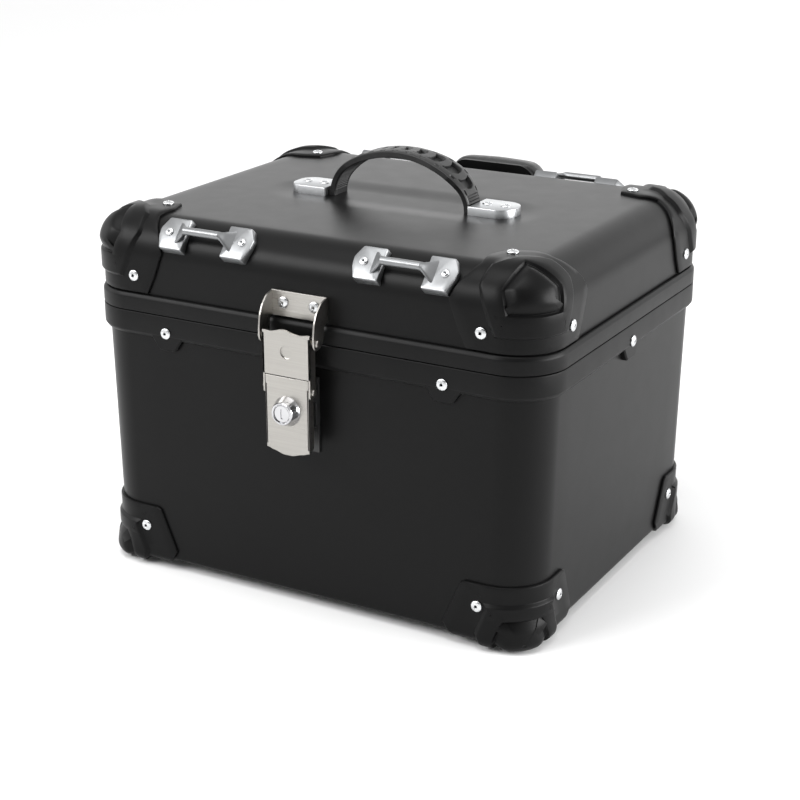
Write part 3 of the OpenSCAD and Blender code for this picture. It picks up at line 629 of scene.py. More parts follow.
def guard_piece(node, loops, apex, centre, distance, mirror_x, mirror_y, foot=None):
    """A corner guard: a flange, a raised field, a groove and a dome with its peak at the apex.

    The foot, where there is one, is the height that the guard stands below the floor.
    """
    flange, raised, window = loops
    layers = [
        (flange, SEAT), (flange, 1.5), (away(flange, apex, -0.5), 2.3),
        (away(flange, apex, -1.3), FLANGE), (flange + (raised - flange) * 0.35, FLANGE),
        (flange + (raised - flange) * 0.62, FLANGE),
        (away(raised, apex, 2.1), FLANGE), (away(raised, apex, 1.5), FLANGE + 0.35),
        (away(raised, apex, 0.3), RAISED - 0.5), (away(raised, apex, -0.5), RAISED - 0.05),
        (away(raised, apex, -1.4), RAISED), (raised + (window - raised) * 0.5, RAISED),
        (away(window, apex, 3.4), RAISED), (away(window, apex, 2.6), RAISED - 0.2),
        (away(window, apex, 0.5), WINDOW + 0.2), (window, WINDOW),
    ]
    reach = np.linalg.norm(apex - window, axis=1)
    for t in (0.02, 0.05, 0.09, 0.14, 0.2, 0.27, 0.35, 0.45, 0.55, 0.66, 0.78, 0.9):
        crown = DOME - 0.0035 * ((1 - t) * reach) ** 2
        rise = np.sin(np.minimum(t * reach / 9, 1) * math.pi / 2)
        layers.append((window + (apex - window) * t, WINDOW + (crown - WINDOW) * rise))
    rings = []
    for loop, height in layers:
        heights = np.broadcast_to(height, len(loop))
        if foot is not None and np.max(height) > FLANGE:
            heights = heights * (1 + 0.2 * smoothstep((14 - loop[:, 2]) / 14))
        ring = project(loop, heights, centre, distance)
        if foot is not None:
            ring[:, 2] = np.maximum(ring[:, 2], -foot)
        rings.append(ring)
    peak = project(apex[None], np.array([DOME if foot is None else foot]), centre, distance)
    back = [
        project(flange + (apex - flange) * t, np.full(len(flange), SEAT), centre, distance)
        for t in (0.15, 0.3, 0.45, 0.6, 0.75, 0.9)
    ]
    rings = back[::-1] + rings
    n = len(flange)
    shape = Shape().rings(rings)
    shape.verts.append(peak[0].tolist())
    shape.verts.append(project(apex[None], np.array([SEAT]), centre, distance)[0].tolist())
    last = (len(rings) - 1) * n
    top, bottom = len(shape.verts) - 2, len(shape.verts) - 1
    shape.faces.extend((last + i, last + (i + 1) % n, top) for i in range(n))
    shape.faces.extend(((i + 1) % n, i, bottom) for i in range(n))
    shape.verts = (np.array(shape.verts) * (mirror_x, mirror_y, 1)).tolist()
    shape.piece(node + "_shell", node, 24)


def lid_wall(inward, z):
    """A point on the lid's long wall or roll, this far in from the side."""
    rise = max(z - ROLL_Z, 0)
    return (WALL_X - inward, WALL_Y - ROLL_R + math.sqrt(ROLL_R**2 - rise**2), z)


def lid_top(in_x, in_y):
    return (WALL_X - in_x, WALL_Y - in_y, LID_TOP)


def corner_arc(half_x, z):
    """Half of the round corner between two walls."""
    return [
        (half_x - WALL_R + WALL_R * math.cos(a), CORE_Y + WALL_R * math.sin(a), z)
        for a in np.radians(np.linspace(45, 90, 6))
    ]


def lid_loops():
    """Outlines of the flange, the raised field and the window round the dome."""

    def loop(z, foot, side, shoulder, crown):
        return full_loop(
            [corner_arc(WALL_X, z) + [lid_wall(foot[0], z)], [lid_wall(foot[0], z)] + side,
             [side[-1]] + shoulder, [shoulder[-1]] + crown],
            COUNTS, WALL_X, WALL_Y,
        )

    flange = loop(
        241.6, (62,), [lid_wall(69, 256), lid_wall(77, 277)],
        [lid_wall(74, 286), lid_wall(67, 295), lid_top(61, 20)], [lid_top(63, 38), lid_top(57, 57)],
    )
    raised = loop(
        255, (38,), [lid_wall(43, 266), lid_wall(48, 279)],
        [lid_wall(53, 290), lid_top(50, 18)], [lid_top(42, 30), lid_top(38, 38)],
    )
    side, crown = np.array(lid_wall(34, 288.5)), np.array(lid_top(28.5, 28.5))
    window = loop(272, (28,), [tuple(side)], [tuple((side + crown) / 2)], [tuple(crown)])
    return flange, raised, window


def base_wall(inward, z):
    return (BASE_CORNER_X - inward, WALL_Y, z)


def base_under(in_x, in_y):
    return (BASE_CORNER_X - in_x, WALL_Y - in_y, 0.0)


def base_loops():
    """The same outlines for a lower corner."""

    def loop(z, foot, side, heel, sole):
        return full_loop(
            [corner_arc(BASE_CORNER_X, z) + [base_wall(*foot)], [base_wall(*foot)] + side,
             [side[-1]] + heel, [heel[-1]] + sole],
            COUNTS, BASE_CORNER_X, WALL_Y,
        )

    flange = loop(
        49, (56, 49), [base_wall(60, 47), base_wall(75, 11)],
        [base_wall(69, 1), base_under(66, 4)], [base_under(66, 34), base_under(50, 50)],
    )
    raised = loop(
        33, (33, 33), [base_wall(36, 31), base_wall(45, 8)],
        [base_wall(43, 1), base_under(42, 4)], [base_under(42, 24), base_under(33, 33)],
    )
    window = loop(
        20.5, (20, 20.5), [base_wall(23, 17), base_wall(29, 6)],
        [base_wall(30, 1), base_under(31, 4)], [base_under(32, 20), base_under(26, 26)],
    )
    return flange, raised, window


def build_guards():
    lid, base = lid_loops(), base_loops()
    lid_centre = np.array([WALL_X - 62, WALL_Y - 62, 246.0])
    base_centre = np.array([BASE_CORNER_X - 62, WALL_Y - 62, 46.0])
    lid_apex = np.array([WALL_X - 9, WALL_Y - 9, 292.0])
    base_apex = np.array([BASE_CORNER_X - 9, WALL_Y - 9, 3.0])
    for end, sy in (("front", -1), ("rear", 1)):
        for side, sx in (("left", -1), ("right", 1)):
            guard_piece(
                f"lid_guard_{end}_{side}", lid, lid_apex, lid_centre, lid_distance, sx, sy
            )
            guard_piece(
                f"base_guard_{end}_{side}", base, base_apex, base_centre, base_distance, sx, sy, FOOT
            )


# ---- Rivets ----


def frame_at(origin, axis):
    """place(a, b, c) with c along the axis."""
    axis = Vector(axis).normalized()
    helper = Vector((0, 0, 1)) if abs(axis.z) < 0.9 else Vector((1, 0, 0))
    u = axis.cross(helper).normalized()
    v = axis.cross(u)
    origin = Vector(origin)
    return lambda a, b, c: tuple(origin + a * u + b * v + c * axis)


def rivet(shape, origin, axis, grip, r=4.8, h=2.2, shank=2.3, tail_r=3.6, tail=1.6):
    """A blind rivet: a domed head with a hole, a shank of the grip's length and a set tail."""
    hole = 1.25 if r > 4 else 0.95
    crown = [
        (r * math.sin(a), h * 0.32 + h * 0.68 * math.cos(a))
        for a in np.radians([90, 78, 66, 54, 42, 30, 22])
    ]
    profile = [(0, -grip - tail), (tail_r - 0.3, -grip - tail), (tail_r, -grip - tail + 0.4),
               (tail_r, -grip), (shank, -grip), (shank, 0), (r - 0.2, 0), (r, 0.25)]
    profile += crown
    profile += [(hole + 0.25, h), (hole, h - 0.25), (hole * 0.95, h - 3.6), (0, h - 3.7)]
    shape.lathe(profile, frame_at(origin, axis), 28)


def build_rivets():
    guard_x, guard_y = WALL_X - GUARD_INSET, WALL_Y - GUARD_INSET
    base_x = FLOOR_X + 0.54
    rim_grip = 9.1
    lid, base, rim, hooks = Shape(), Shape(), Shape(), Shape()
    for sx in (-1, 1):
        for sy in (-1, 1):
            grip = FLANGE + SHEET
            rivet(lid, (sx * guard_x, sy * (WALL_Y + FLANGE), LID_GUARD_RIVET_Z), (0, sy, 0), grip)
            rivet(lid, (sx * (WALL_X + FLANGE), sy * guard_y, LID_GUARD_RIVET_Z), (sx, 0, 0), grip)
            rivet(lid, (sx * guard_x, sy * guard_y, LID_TOP + FLANGE), (0, 0, 1), grip)
            rivet(base, (sx * guard_x, sy * (WALL_Y + FLANGE), BASE_GUARD_RIVET_Z), (0, sy, 0), grip)
            rivet(base, (sx * (base_x + FLANGE), sy * guard_y, BASE_GUARD_RIVET_Z), (sx, 0, 0), grip)
            rivet(rim, (sx * RIM_RIVET_X, sy * RIM_Y, RIM_RIVET_Z), (0, sy, 0), rim_grip)
            for end in (-1, 1):
                place = on_roll(sx * HOOK_X + end * HOOK_PITCH / 2, sy)
                top = Vector(place(0, 0, HOOK_FOOT_T))
                axis = top - Vector(place(0, 0, 0))
                rivet(hooks, top, axis, HOOK_FOOT_T + SHEET + 0.3, 3.6, 1.8)
        rivet(rim, (sx * RIM_X, 0, RIM_RIVET_Z), (sx, 0, 0), rim_grip)
    lid.piece("lid_guard_rivet_set", "lid_guard_rivets")
    base.piece("base_guard_rivet_set", "base_guard_rivets")
    rim.piece("base_rim_rivet_set", "base_rim_rivets")
    hooks.piece("tie_hook_rivet_set", "tie_hook_rivets")
    latch, strike = Shape(), Shape()
    for x in (-14.5, 14.5):
        rivet(latch, (x, -WALL_Y - 2, 254), (0, -1, 0), 4 + SHEET)
    for z in (140, 188):
        rivet(strike, (0, -WALL_Y - 2, z), (0, -1, 0), 2 + SHEET)
    latch.piece("latch_bracket_rivet_set", "latch_bracket_rivets")
    strike.piece("latch_strike_rivet_set", "latch_strike_rivets")
    for node, z in (("hinge_base_rivets", SEAM - 12), ("hinge_lid_rivets", SEAM + 9)):
        shape = Shape()
        for sx in (-1, 1):
            for x in (-HINGE_RIVET_X, HINGE_RIVET_X):
                origin = (sx * HINGE_X + x, RIM_Y + 2, z)
                rivet(shape, origin, (0, 1, 0), rim_grip + 2, 3.2, 1.5, 1.8, 3.0, 1.5)
        shape.piece(node.replace("rivets", "rivet_set"), node)


# ---- Tie-down hooks ----


def on_roll(x, side):
    """A frame on the rolled edge: a along X, b down the roll, c square off it."""
    sin, cos = math.sin(HOOK_ANGLE), math.cos(HOOK_ANGLE)

    def place(a, b, c):
        y = WALL_Y - ROLL_R + sin * (ROLL_R + c) + cos * b
        z = ROLL_Z + cos * (ROLL_R + c) - sin * b
        return (x + a, side * y, z)

    return place


def hook_foot(shape, x, side, turn):
    """A plate with cut corners whose underside follows the roll."""
    place = on_roll(x, side)
    outline = [(-16.5, -13.5), (4.5, -13.5), (10, -3.5), (9.5, 4), (5, 15), (-16.5, 15)]
    outline = rounded([(a * turn, b) for a, b in outline], 1.2, 2)
    outline = np.vstack([
        np.linspace(p, q, max(2, math.ceil(math.dist(p, q) / 3.0) + 1))[:-1]
        for p, q in zip(outline, outline[1:] + outline[:1])
    ])
    middle = np.array([-4.0 * turn, 0.5])

    def shrink(amount):
        pts = outline - middle
        length = np.linalg.norm(pts, axis=1)[:, None]
        return middle + pts * (1 - amount / length)

    def seat(b):
        return math.sqrt(ROLL_R**2 - b * b) - ROLL_R - 0.3

    rings = [
        [place(a, b, seat(b)) for a, b in middle + (outline - middle) * part]
        for part in (0.05, 0.35, 0.68, 1.0)
    ]
    rings += [
        [place(a, b, HOOK_FOOT_T - 1.3) for a, b in outline],
        [place(a, b, HOOK_FOOT_T - 0.35) for a, b in shrink(0.5)],
        [place(a, b, HOOK_FOOT_T) for a, b in shrink(1.5)],
    ]
    shape.rings(rings, cap=True)


def hook_bar(shape, x, side):
    """The bar with a web at each end that widens on its way down to the foot."""
    place = on_roll(x, side)
    web_foot = 3.4
    stations = []
    for t in np.linspace(0, 1, 12):
        half_b = 11.0 - 7.6 * min(1.0, t * 1.08)
        stations.append((
            28.0 - 11.0 * t, web_foot + (HOOK_RISE - web_foot) * t, half_b,
            1.1 + 2.3 * t**5, 0.66 * (1 - t**5), 0.45 + 0.55 * t**3,
        ))
    stations += [(a, HOOK_RISE, HOOK_BAR_R, HOOK_BAR_R, 0.0, 1.0) for a in (14.5, 10.0, 5.0)]
    stations += [(-a, c, w, h, -tilt, power) for a, c, w, h, tilt, power in stations[::-1]]
    rings = []
    for a, c, half_b, half_c, tilt, power in stations:
        ring = []
        for turn in np.linspace(0, 2 * math.pi, 32, endpoint=False):
            cos, sin = math.cos(turn), math.sin(turn)
            up = half_c * math.copysign(abs(sin) ** power, sin)
            across = half_b * math.copysign(abs(cos) ** power, cos)
            ring.append(place(a + up * math.sin(tilt), across, c + up * math.cos(tilt)))
        rings.append(ring)
    shape.rings(rings, cap=True)


def build_hooks():
    for end, sy in (("front", -1), ("rear", 1)):
        for name, sx in (("left", -1), ("right", 1)):
            shape = Shape()
            for turn in (-1, 1):
                hook_foot(shape, sx * HOOK_X + turn * HOOK_PITCH / 2, sy, turn)
            hook_bar(shape, sx * HOOK_X, sy)
            shape.piece(f"tie_hook_{end}_{name}_casting", f"tie_hook_{end}_{name}", 30)


# ---- Handle ----

ARCH_FOOT, ARCH_H, GRIP_HALF = 69.0, 45.0, 11.0
LEG_T, CROWN_T = 6.0, 6.5
CAP_HIGH = node_box("handle_cap_right")[1]
CAP_LOW = node_box("handle_cap_right")[0]


def arch_point(t, foot, height):
    """A point (x, z) of a half ellipse that stands on the lid."""
    return (-foot * math.cos(math.pi * t), LID_TOP + height * math.sin(math.pi * t))


def pocket(u, v, centre, half_u, half_v, bend):
    """A crescent-shaped pocket's depth, from 0 to 1. u and v are in millimetres."""
    across = np.abs(v) / half_v
    along = (u - centre + bend * across**2) / half_u
    inside = 1 - np.maximum(np.abs(along), across)
    return smoothstep(inside * min(half_u, half_v) / 0.7)


def tread_depth(u, v, length):
    """Depth of the tread cut in the grip's outer face. u runs from the left foot to the right."""
    middle = length / 2
    depth = np.zeros(np.broadcast(u, v).shape)
    for at, hu, hv, bend in (
        (-27, 1.0, 2.8, 1.2), (-18, 1.5, 3.4, 1.5), (-8, 2.0, 4.2, 1.8), (4, 2.9, 5.0, 2.2),
        (18, 3.8, 5.8, 2.6), (34, 4.6, 6.4, 3.0), (51, 5.2, 6.6, 3.4), (68, 4.6, 6.4, 3.0),
    ):
        depth = np.maximum(depth, 3.4 * pocket(u, v, middle + at, hu, hv, bend))
    for side in (-1, 1):
        for at in (-46, -36, -26, -15, -3, 10, 24, 40, 57, 74):
            depth = np.maximum(depth, 1.6 * pocket(u, v - side * 8.6, middle + at, 3.0, 1.0, 0))
    ribs = 0.5 + 0.5 * np.cos((u - middle) * 2 * math.pi / 2.6)
    ends = smoothstep((middle - u - 56) / 3) + smoothstep((u - middle - 76) / 3)
    edge = smoothstep((9.2 - np.abs(v)) / 0.8)
    return np.maximum(depth, 0.8 * ribs * ends * edge)


def grip_half(x):
    """Half of the grip's width, which swells toward the legs and narrows at the feet."""
    places, halves = (0, 18, 36, 52, 59, 64, 70), (13.5, 14, 16, 16, 14.5, 12.5, GRIP_HALF)
    return np.interp(abs(x), places, halves) - 0.05


def build_handle():
    steps, face = 420, 60
    ts = np.linspace(0.004, 0.996, steps)
    outer = np.array([arch_point(t, ARCH_FOOT, ARCH_H) for t in ts])
    inner = np.array([arch_point(t, ARCH_FOOT - LEG_T, ARCH_H - CROWN_T) for t in ts])
    run = np.r_[0, np.cumsum(np.linalg.norm(np.diff(outer, axis=0), axis=1))]
    side_parts = (0.1, 0.4, 0.7, 0.94)
    out = outer - inner
    out /= np.linalg.norm(out, axis=1)[:, None]
    rings = []
    for k in range(steps):
        half = grip_half(outer[k][0])
        v_face = np.linspace(-half + 1.0, half - 1.0, face)
        scaled = v_face * (GRIP_HALF / half)
        depth = tread_depth(run[k], scaled, run[-1]) + 1.1 * (v_face / half) ** 4
        ring = [(outer[k] - out[k] * d, v) for d, v in zip(depth, v_face)]
        thick = np.linalg.norm(outer[k] - inner[k])
        for f in side_parts:
            ring.append((outer[k] - out[k] * (1.2 + (thick - 1.4) * f), half))
        rib = 0.7 * (0.5 + 0.5 * math.cos(run[k] * 2 * math.pi / 2.2))
        for v in np.linspace(half - 1.0, -half + 1.0, 16):
            edge = smoothstep((half - 2.0 - abs(v)) / 0.8)
            ring.append((inner[k] + out[k] * rib * edge, v))
        for f in side_parts[::-1]:
            ring.append((outer[k] - out[k] * (1.2 + (thick - 1.4) * f), -half))
        rings.append([(p[0], v, p[1]) for p, v in ring])
    shape = Shape().rings(rings, cap=True)
    near, far = ARCH_FOOT - LEG_T, CAP_HIGH[0] - 6
    tang = rounded([(near, -GRIP_HALF), (far, -GRIP_HALF), (far, GRIP_HALF), (near, GRIP_HALF)], 1.0, 2)
    for sx in (-1, 1):
        shape.prism(tang, lambda a, b, c, s=sx: (s * a, b, c), LID_TOP - 1.4, LID_TOP + 3)
    shape.piece("handle_grip_moulding", "handle_grip", 32)


def cap_outline(inset):
    """A metal cap's outline: square at the arch, round at its outer corners."""
    corner = 14
    r = corner - inset
    pts = [(CAP_LOW[0] + inset, CAP_LOW[1] + inset)]
    for sy, start in ((-1, -90), (1, 0)):
        middle_x, middle_y = CAP_HIGH[0] - corner, sy * (CAP_HIGH[1] - corner)
        for a in np.radians(np.linspace(start, start + 90, 9)):
            pts.append((middle_x + r * math.cos(a), middle_y + r * math.sin(a)))
    pts.append((CAP_LOW[0] + inset, CAP_HIGH[1] - inset))
    return pts


def build_caps():
    top = CAP_HIGH[2]
    for name, sx in (("left", -1), ("right", 1)):
        shape = Shape()
        rings = []
        for z, inset in ((LID_TOP - 1.5, 0.0), (top - 1.0, 0.0), (top - 0.3, 0.3), (top, 1.0)):
            rings.append([(sx * x, y, z) for x, y in cap_outline(inset)])
        shape.rings(rings, cap=True)
        shape.piece(f"handle_cap_{name}_plate", f"handle_cap_{name}", 30)
    shape = Shape()
    profile = [
        (0, LID_TOP - 6), (2, LID_TOP - 6), (2, top - 0.4), (4.4, top - 0.4), (4.4, top + 0.3),
        (3.9, top + 0.9), (3.2, top + 1.2), (2.3, top + 1.3), (2.0, top + 1.1), (1.9, top + 0.1),
        (0, top - 0.1),
    ]
    for sx in (-1, 1):
        for x in (80, 97):
            shape.lathe(profile, lambda a, b, c, x=x, s=sx: (s * x + a, b, c), 24)
    shape.piece("handle_screw_set", "handle_screws")


# ---- Latch ----

PLATE_Y = node_box("latch_flap")[0][1]
UPPER_PIN, LOWER_PIN = (-185.0, 230.0), (-185.5, 189.0)
LOCK_Z = 171.0
LATCH_T = 1.5
BRACKET_HALF, FLAP_HALF, LOCK_PLATE_HALF = 26.0, 22.0, 20.1


def front_view(a, b, c):
    """An outline in (x, z), pushed along y."""
    return (a, c, b)


def side_view(a, b, c):
    """An outline in (y, z), pushed along x."""
    return (c, a, b)


def pin_barrel(shape, pin, half):
    """The rolled barrel round a latch pin."""
    shape.lathe(
        [(0, -half), (3.6, -half), (3.6, half), (0, half)],
        lambda a, b, c: (c, pin[0] + a, pin[1] + b), 28,
    )


def side_flanges(shape, outline, half):
    for x in (-half, half - LATCH_T):
        shape.prism(outline, side_view, x, x + LATCH_T)


def build_bracket():
    bracket = Shape()
    low, high = 242.5, 263.5
    sheet = [(-BRACKET_HALF, low), (BRACKET_HALF, low), (BRACKET_HALF, high), (-BRACKET_HALF, high)]
    bracket.prism(rounded(sheet, 1.2, 3), front_view, -WALL_Y - 2, -WALL_Y)
    ear = [
        (-169, 263.5), (-169, 243), (-174.5, 241), (-175.2, 231), (-179, 226), (-183.5, 223.9),
        (-187.4, 224.6), (-189.8, 228), (-190, 236), (-188.6, 246), (-184.6, 254.5), (-178.4, 260.8),
    ]
    side_flanges(bracket, rounded(ear, 2.0, 4), BRACKET_HALF)
    bevelled(bracket.piece("latch_bracket_sheet", "latch_bracket"), 0.35)


def build_flap():
    flap = Shape()
    wave = []
    for x in np.linspace(-FLAP_HALF, FLAP_HALF, 45):
        crest = 2.9 * math.exp(-((x + 3) / 7.5) ** 2) + 1.0 * smoothstep((x - 12) / 8)
        wave.append((x, 235.6 + crest + 0.6 * smoothstep((-x - 12) / 8)))
    outline = [(-FLAP_HALF, 200), (FLAP_HALF, 200)] + wave[::-1]
    flap.prism(outline, front_view, PLATE_Y, PLATE_Y + LATCH_T)
    strip = rounded(
        [(PLATE_Y, 184.3), (PLATE_Y + 3, 183.9), (PLATE_Y + 7.4, 184.3), (PLATE_Y + 8.2, 187),
         (PLATE_Y + 8.2, 231), (PLATE_Y + 6, 234), (PLATE_Y + 2.5, 234.5), (PLATE_Y, 235)],
        1.2, 3,
    )
    side_flanges(flap, strip, FLAP_HALF)
    pin_barrel(flap, UPPER_PIN, 20.4)
    obj = flap.piece("latch_flap_sheet", "latch_flap")
    dimple_z = 220
    cut(obj, Shape().lathe(
        [(0, -0.6), (5.5, -0.6), (5.5, 0.8), (4.9, 1.1), (0, 1.1)],
        lambda a, b, c: (a, PLATE_Y + c, dimple_z + b), 48,
    ))
    bevelled(obj, 0.3)


def build_lock_plate():
    plate = Shape()
    wave = []
    for x in np.linspace(-LOCK_PLATE_HALF, LOCK_PLATE_HALF, 41):
        rise = 2.6 * smoothstep((abs(x) - 3) / 11) + 1.8 * smoothstep((abs(x) - 13) / 7)
        wave.append((x, 133.2 + rise))
    top = 199.2
    outline = wave + [(LOCK_PLATE_HALF, top), (-LOCK_PLATE_HALF, top)]
    plate.prism(outline, front_view, PLATE_Y, PLATE_Y + LATCH_T)
    flange = rounded(
        [(PLATE_Y, 139.2), (PLATE_Y + 6, 139.2), (PLATE_Y + 7.6, 142), (PLATE_Y + 7.6, 190.5),
         (PLATE_Y + 6, 192.6), (PLATE_Y, 193)],
        1.4, 3,
    )
    side_flanges(plate, flange, LOCK_PLATE_HALF)
    pin_barrel(plate, LOWER_PIN, 18.5)
    bevelled(plate.piece("lock_plate_sheet", "lock_plate"), 0.3)


def build_pins():
    neck = 1.98
    for node, half, (y, z), r in (
        ("latch_upper_pin", 27.9, UPPER_PIN, 3.2), ("latch_lower_pin", 23.9, LOWER_PIN, 3.0),
    ):
        head = [
            (0, half), (r - 0.9, half), (r - 0.2, half - 0.35), (r, half - 0.9), (r, half - 1.75),
            (neck, half - 1.8),
        ]
        profile = [(radius, -at) for radius, at in head] + head[::-1]
        rod = Shape().lathe(profile, lambda a, b, c, y=y, z=z: (c, y + a, z + b), 28)
        rod.piece(node + "_rod", node)


def lock_view(a, b, c):
    """A point round the lock's axis."""
    return (a, c, LOCK_Z + b)


def build_lock():
    front, back = (corner[1] for corner in node_box("lock_housing"))
    r = 9.0
    profile = [
        (0, back), (r, back), (r, PLATE_Y - 0.05), (12.3, PLATE_Y - 0.05), (12.45, PLATE_Y - 0.5),
        (12.1, PLATE_Y - 1.2), (11.0, PLATE_Y - 4.0), (9.9, front + 1.9), (9.5, front + 0.8),
        (9.0, front + 0.15), (8.5, front), (7.9, front), (7.5, front + 0.4), (7.4, front + 1.7),
        (0, front + 1.7),
    ]
    Shape().lathe(profile, lock_view, 48).piece("lock_housing_barrel", "lock_housing", 30)
    turns = np.linspace(0, 2 * math.pi, 48, endpoint=False)
    plug_r, edge_r = 7.15, 6.75
    slot_half_w, slot_half_h = 1.3, 4.2
    disc = [(plug_r * math.cos(a), plug_r * math.sin(a)) for a in turns]
    edge = [(edge_r * math.cos(a), edge_r * math.sin(a)) for a in turns]
    keyway = [
        (slot_half_w * math.cos(a), max(-slot_half_h, min(slot_half_h, 6.5 * math.sin(a))))
        for a in turns
    ]
    keyway_end = [(a * 0.9, b * 0.97) for a, b in keyway]
    face_y = front + 1.0
    plug_back = node_box("key_cylinder")[1][1]
    rings = [
        [lock_view(a, b, y) for a, b in outline]
        for outline, y in (
            (disc, plug_back), (disc, face_y + 0.35), (edge, face_y), (keyway, face_y),
            (keyway_end, face_y + 5),
        )
    ]
    Shape().rings(rings, cap=True).piece("key_cylinder_plug", "key_cylinder", 30)


# ---- Backrest pad ----


def settled(obj, start, frames=20, furthest=4.0):
    """Where a cloth run with a little pressure takes the points, within a furthest move."""
    cloth = obj.modifiers.new("cloth", "CLOTH")
    cloth.settings.use_pressure = True
    cloth.settings.uniform_pressure_force = 4
    cloth.settings.effector_weights.gravity = 0
    cloth.point_cache.frame_start, cloth.point_cache.frame_end = 1, frames
    scene = bpy.context.scene
    for number in range(1, frames + 1):
        scene.frame_set(number)
    mesh = apply_modifiers(obj)
    scene.frame_set(1)
    move = np.array([v.co for v in mesh.vertices]) - start
    size = np.linalg.norm(move, axis=1)[:, None]
    return start + move * np.minimum(1, furthest * MM / np.maximum(size, 1e-9))


def build_pad():
    low, high = node_box("backrest_pad")
    shrink = 1.6
    half_x = (high[0] - low[0]) / 2 - shrink
    mid_z, half_z = (high[2] + low[2]) / 2, (high[2] - low[2]) / 2 - shrink
    y0, y1 = low[1] + 0.4, high[1] - shrink
    r = 16
    rings = []
    for y, inset in ((y0, 0.6), (y0 + 2, 0), (y0 + (y1 - y0) * 0.55, 0), (y1 - 3, 1.6), (y1, 5.0)):
        base, normal = ring_path(half_x - r, half_z - r, 8, 8, 6)
        pts = base + normal * (r - inset)
        rings.append([(x, y, mid_z + z) for x, z in pts])
    obj = Shape().rings(rings, cap=True).piece("backrest_cushion", "backrest_pad", 180)
    remesh = obj.modifiers.new("remesh", "REMESH")
    remesh.mode = "VOXEL"
    remesh.voxel_size = 3.2 * MM
    remesh.use_smooth_shade = True
    apply_modifiers(obj)
    start = np.array([v.co for v in obj.data.vertices])
    end = settled(obj, start)
    seam = (y0 + 12.5) * MM
    seam_depth, seam_half = 1.1 * MM, 0.9 * MM
    pull = seam_depth * np.exp(-(((end[:, 1] - seam) / seam_half) ** 2))
    middle = np.array([0, seam, mid_z * MM])
    radial = end - middle
    radial[:, 1] = 0
    length = np.linalg.norm(radial, axis=1)[:, None]
    edge = smoothstep((length[:, 0] - 18 * MM) / (8 * MM))
    end = end - radial / np.maximum(length, 1e-9) * (pull * edge)[:, None]
    end = np.clip(end, low * MM, high * MM)
    for v, co in zip(obj.data.vertices, end):
        v.co = co
    sub = obj.modifiers.new("sub", "SUBSURF")
    sub.levels = sub.render_levels = 1
    apply_modifiers(obj).shade_smooth()


# ---- Softened copies of the plainer CAD pieces ----


def softened(node, width):
    """A new piece with the CAD node's own faces and small rounded edges."""
    mesh = frame["nodes"][node].data.copy()
    bm = bmesh.new()
    bm.from_mesh(mesh)
    bmesh.ops.remove_doubles(bm, verts=bm.verts, dist=2e-6)
    bmesh.ops.dissolve_limit(bm, angle_limit=math.radians(1.0), verts=bm.verts, edges=bm.edges)
    bm.to_mesh(mesh)
    bm.free()
    obj = linked(node + "_finish", mesh)
    dress(obj, node)
    bevelled(obj, width, 40)


def finish_cad():
    for node in (
        "latch_strike", "hinge_base_leaf_left", "hinge_base_leaf_right", "hinge_lid_leaf_left",
        "hinge_lid_leaf_right",
    ):
        softened(node, 0.3)
    for name, obj in frame["nodes"].items():
        if not obj.hide_render:
            obj.data.materials.clear()
            obj.data.materials.append(MATERIALS[NODE_SLOT[name]])


# ---- Studio ----


def turned_to(location, look_at, axis):
    """The rotation that points an object's axis from its place to a target."""
    aim = Vector(look_at) - Vector(location)
    return aim.to_track_quat(axis, "Y").to_euler()


def plane(name, size, location, look_at, material):
    mesh = bpy.data.meshes.new(name)
    x, y = size[0] / 2, size[1] / 2
    mesh.from_pydata([(-x, -y, 0), (x, -y, 0), (x, y, 0), (-x, y, 0)], [], [(0, 1, 2, 3)])
    mesh.materials.append(material)
    obj = linked(name, mesh)
    obj.location = location
    if look_at is not None:
        obj.rotation_euler = turned_to(location, look_at, "Z")


def area_light(name, location, look_at, size, power):
    light = bpy.data.lights.new(name, "AREA")
    light.shape = "RECTANGLE"
    light.size, light.size_y = size
    light.energy = power
    obj = linked(name, light)
    obj.location = location
    obj.rotation_euler = turned_to(location, look_at, "-Z")


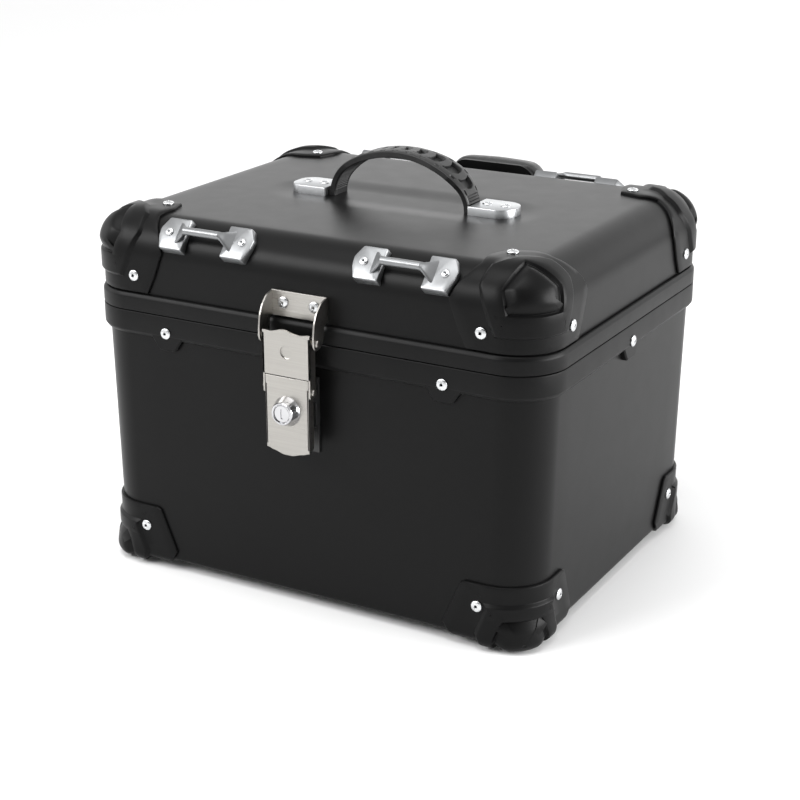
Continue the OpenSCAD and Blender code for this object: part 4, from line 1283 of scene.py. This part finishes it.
def build_studio():
    floor_mat = Nodes("studio_floor", (0.87, 0.87, 0.87), 0.75, specular=0.2)
    floor_mat.bump(floor_mat.noise(8, 3), 0.02, 0.001)
    plane("studio_floor", (60, 60), (0, 0, -FOOT * MM), None, floor_mat.mat)
    flag_mat = Nodes("black_flag", grey(0.01), 0.9, specular=0.1)
    flag_mat.bump(flag_mat.noise(40, 2), 0.05, 0.001)
    plane("black_flag", (5.0, 2.4), (1.0, -3.0, 2.1), (0, 0, 0.2), flag_mat.mat)
    world = bpy.data.worlds.new("studio_world")
    bpy.context.scene.world = world
    world.use_nodes = True
    background = world.node_tree.nodes["Background"]
    background.inputs["Color"].default_value = (1, 1, 1, 1)
    background.inputs["Strength"].default_value = 0.95
    area_light("key_overhead", (-0.1, -0.55, 1.9), (0, 0, 0.1), (1.5, 0.9), 14)
    area_light("key_front_left", (-1.15, -1.5, 1.4), (0, 0, 0.28), (1.5, 0.7), 30)
    area_light("back_wall", (-1.6, 8.0, 2.1), (0, 0, 0.35), (13.0, 3.5), 135)
    area_light("side_right", (3.0, 0.8, 0.8), (0, 0, 0.2), (2.6, 1.4), 125)
    area_light("side_left", (-2.8, -0.6, 0.9), (0, 0, 0.2), (1.6, 1.2), 8)


CAMERA_POS = (0.72889, -1.30004, 0.65737)
CAMERA_AIM = (-0.00409, 0.0, 0.12018)
CAMERA_LENS = 79.81


def build_camera():
    data = bpy.data.cameras.new("photo_camera")
    data.lens = CAMERA_LENS
    data.sensor_width = 36
    data.clip_start, data.clip_end = 0.05, 100
    obj = linked("photo_camera", data)
    obj.location = CAMERA_POS
    obj.rotation_euler = turned_to(CAMERA_POS, CAMERA_AIM, "-Z")
    bpy.context.scene.camera = obj


build_lid_shell()
build_base_shell()
build_rims()
build_guards()
build_rivets()
build_hooks()
build_handle()
build_caps()
build_bracket()
build_flap()
build_lock_plate()
build_pins()
build_lock()
build_pad()
finish_cad()
build_studio()
build_camera()
bpy.context.scene.view_settings.view_transform = "Standard"
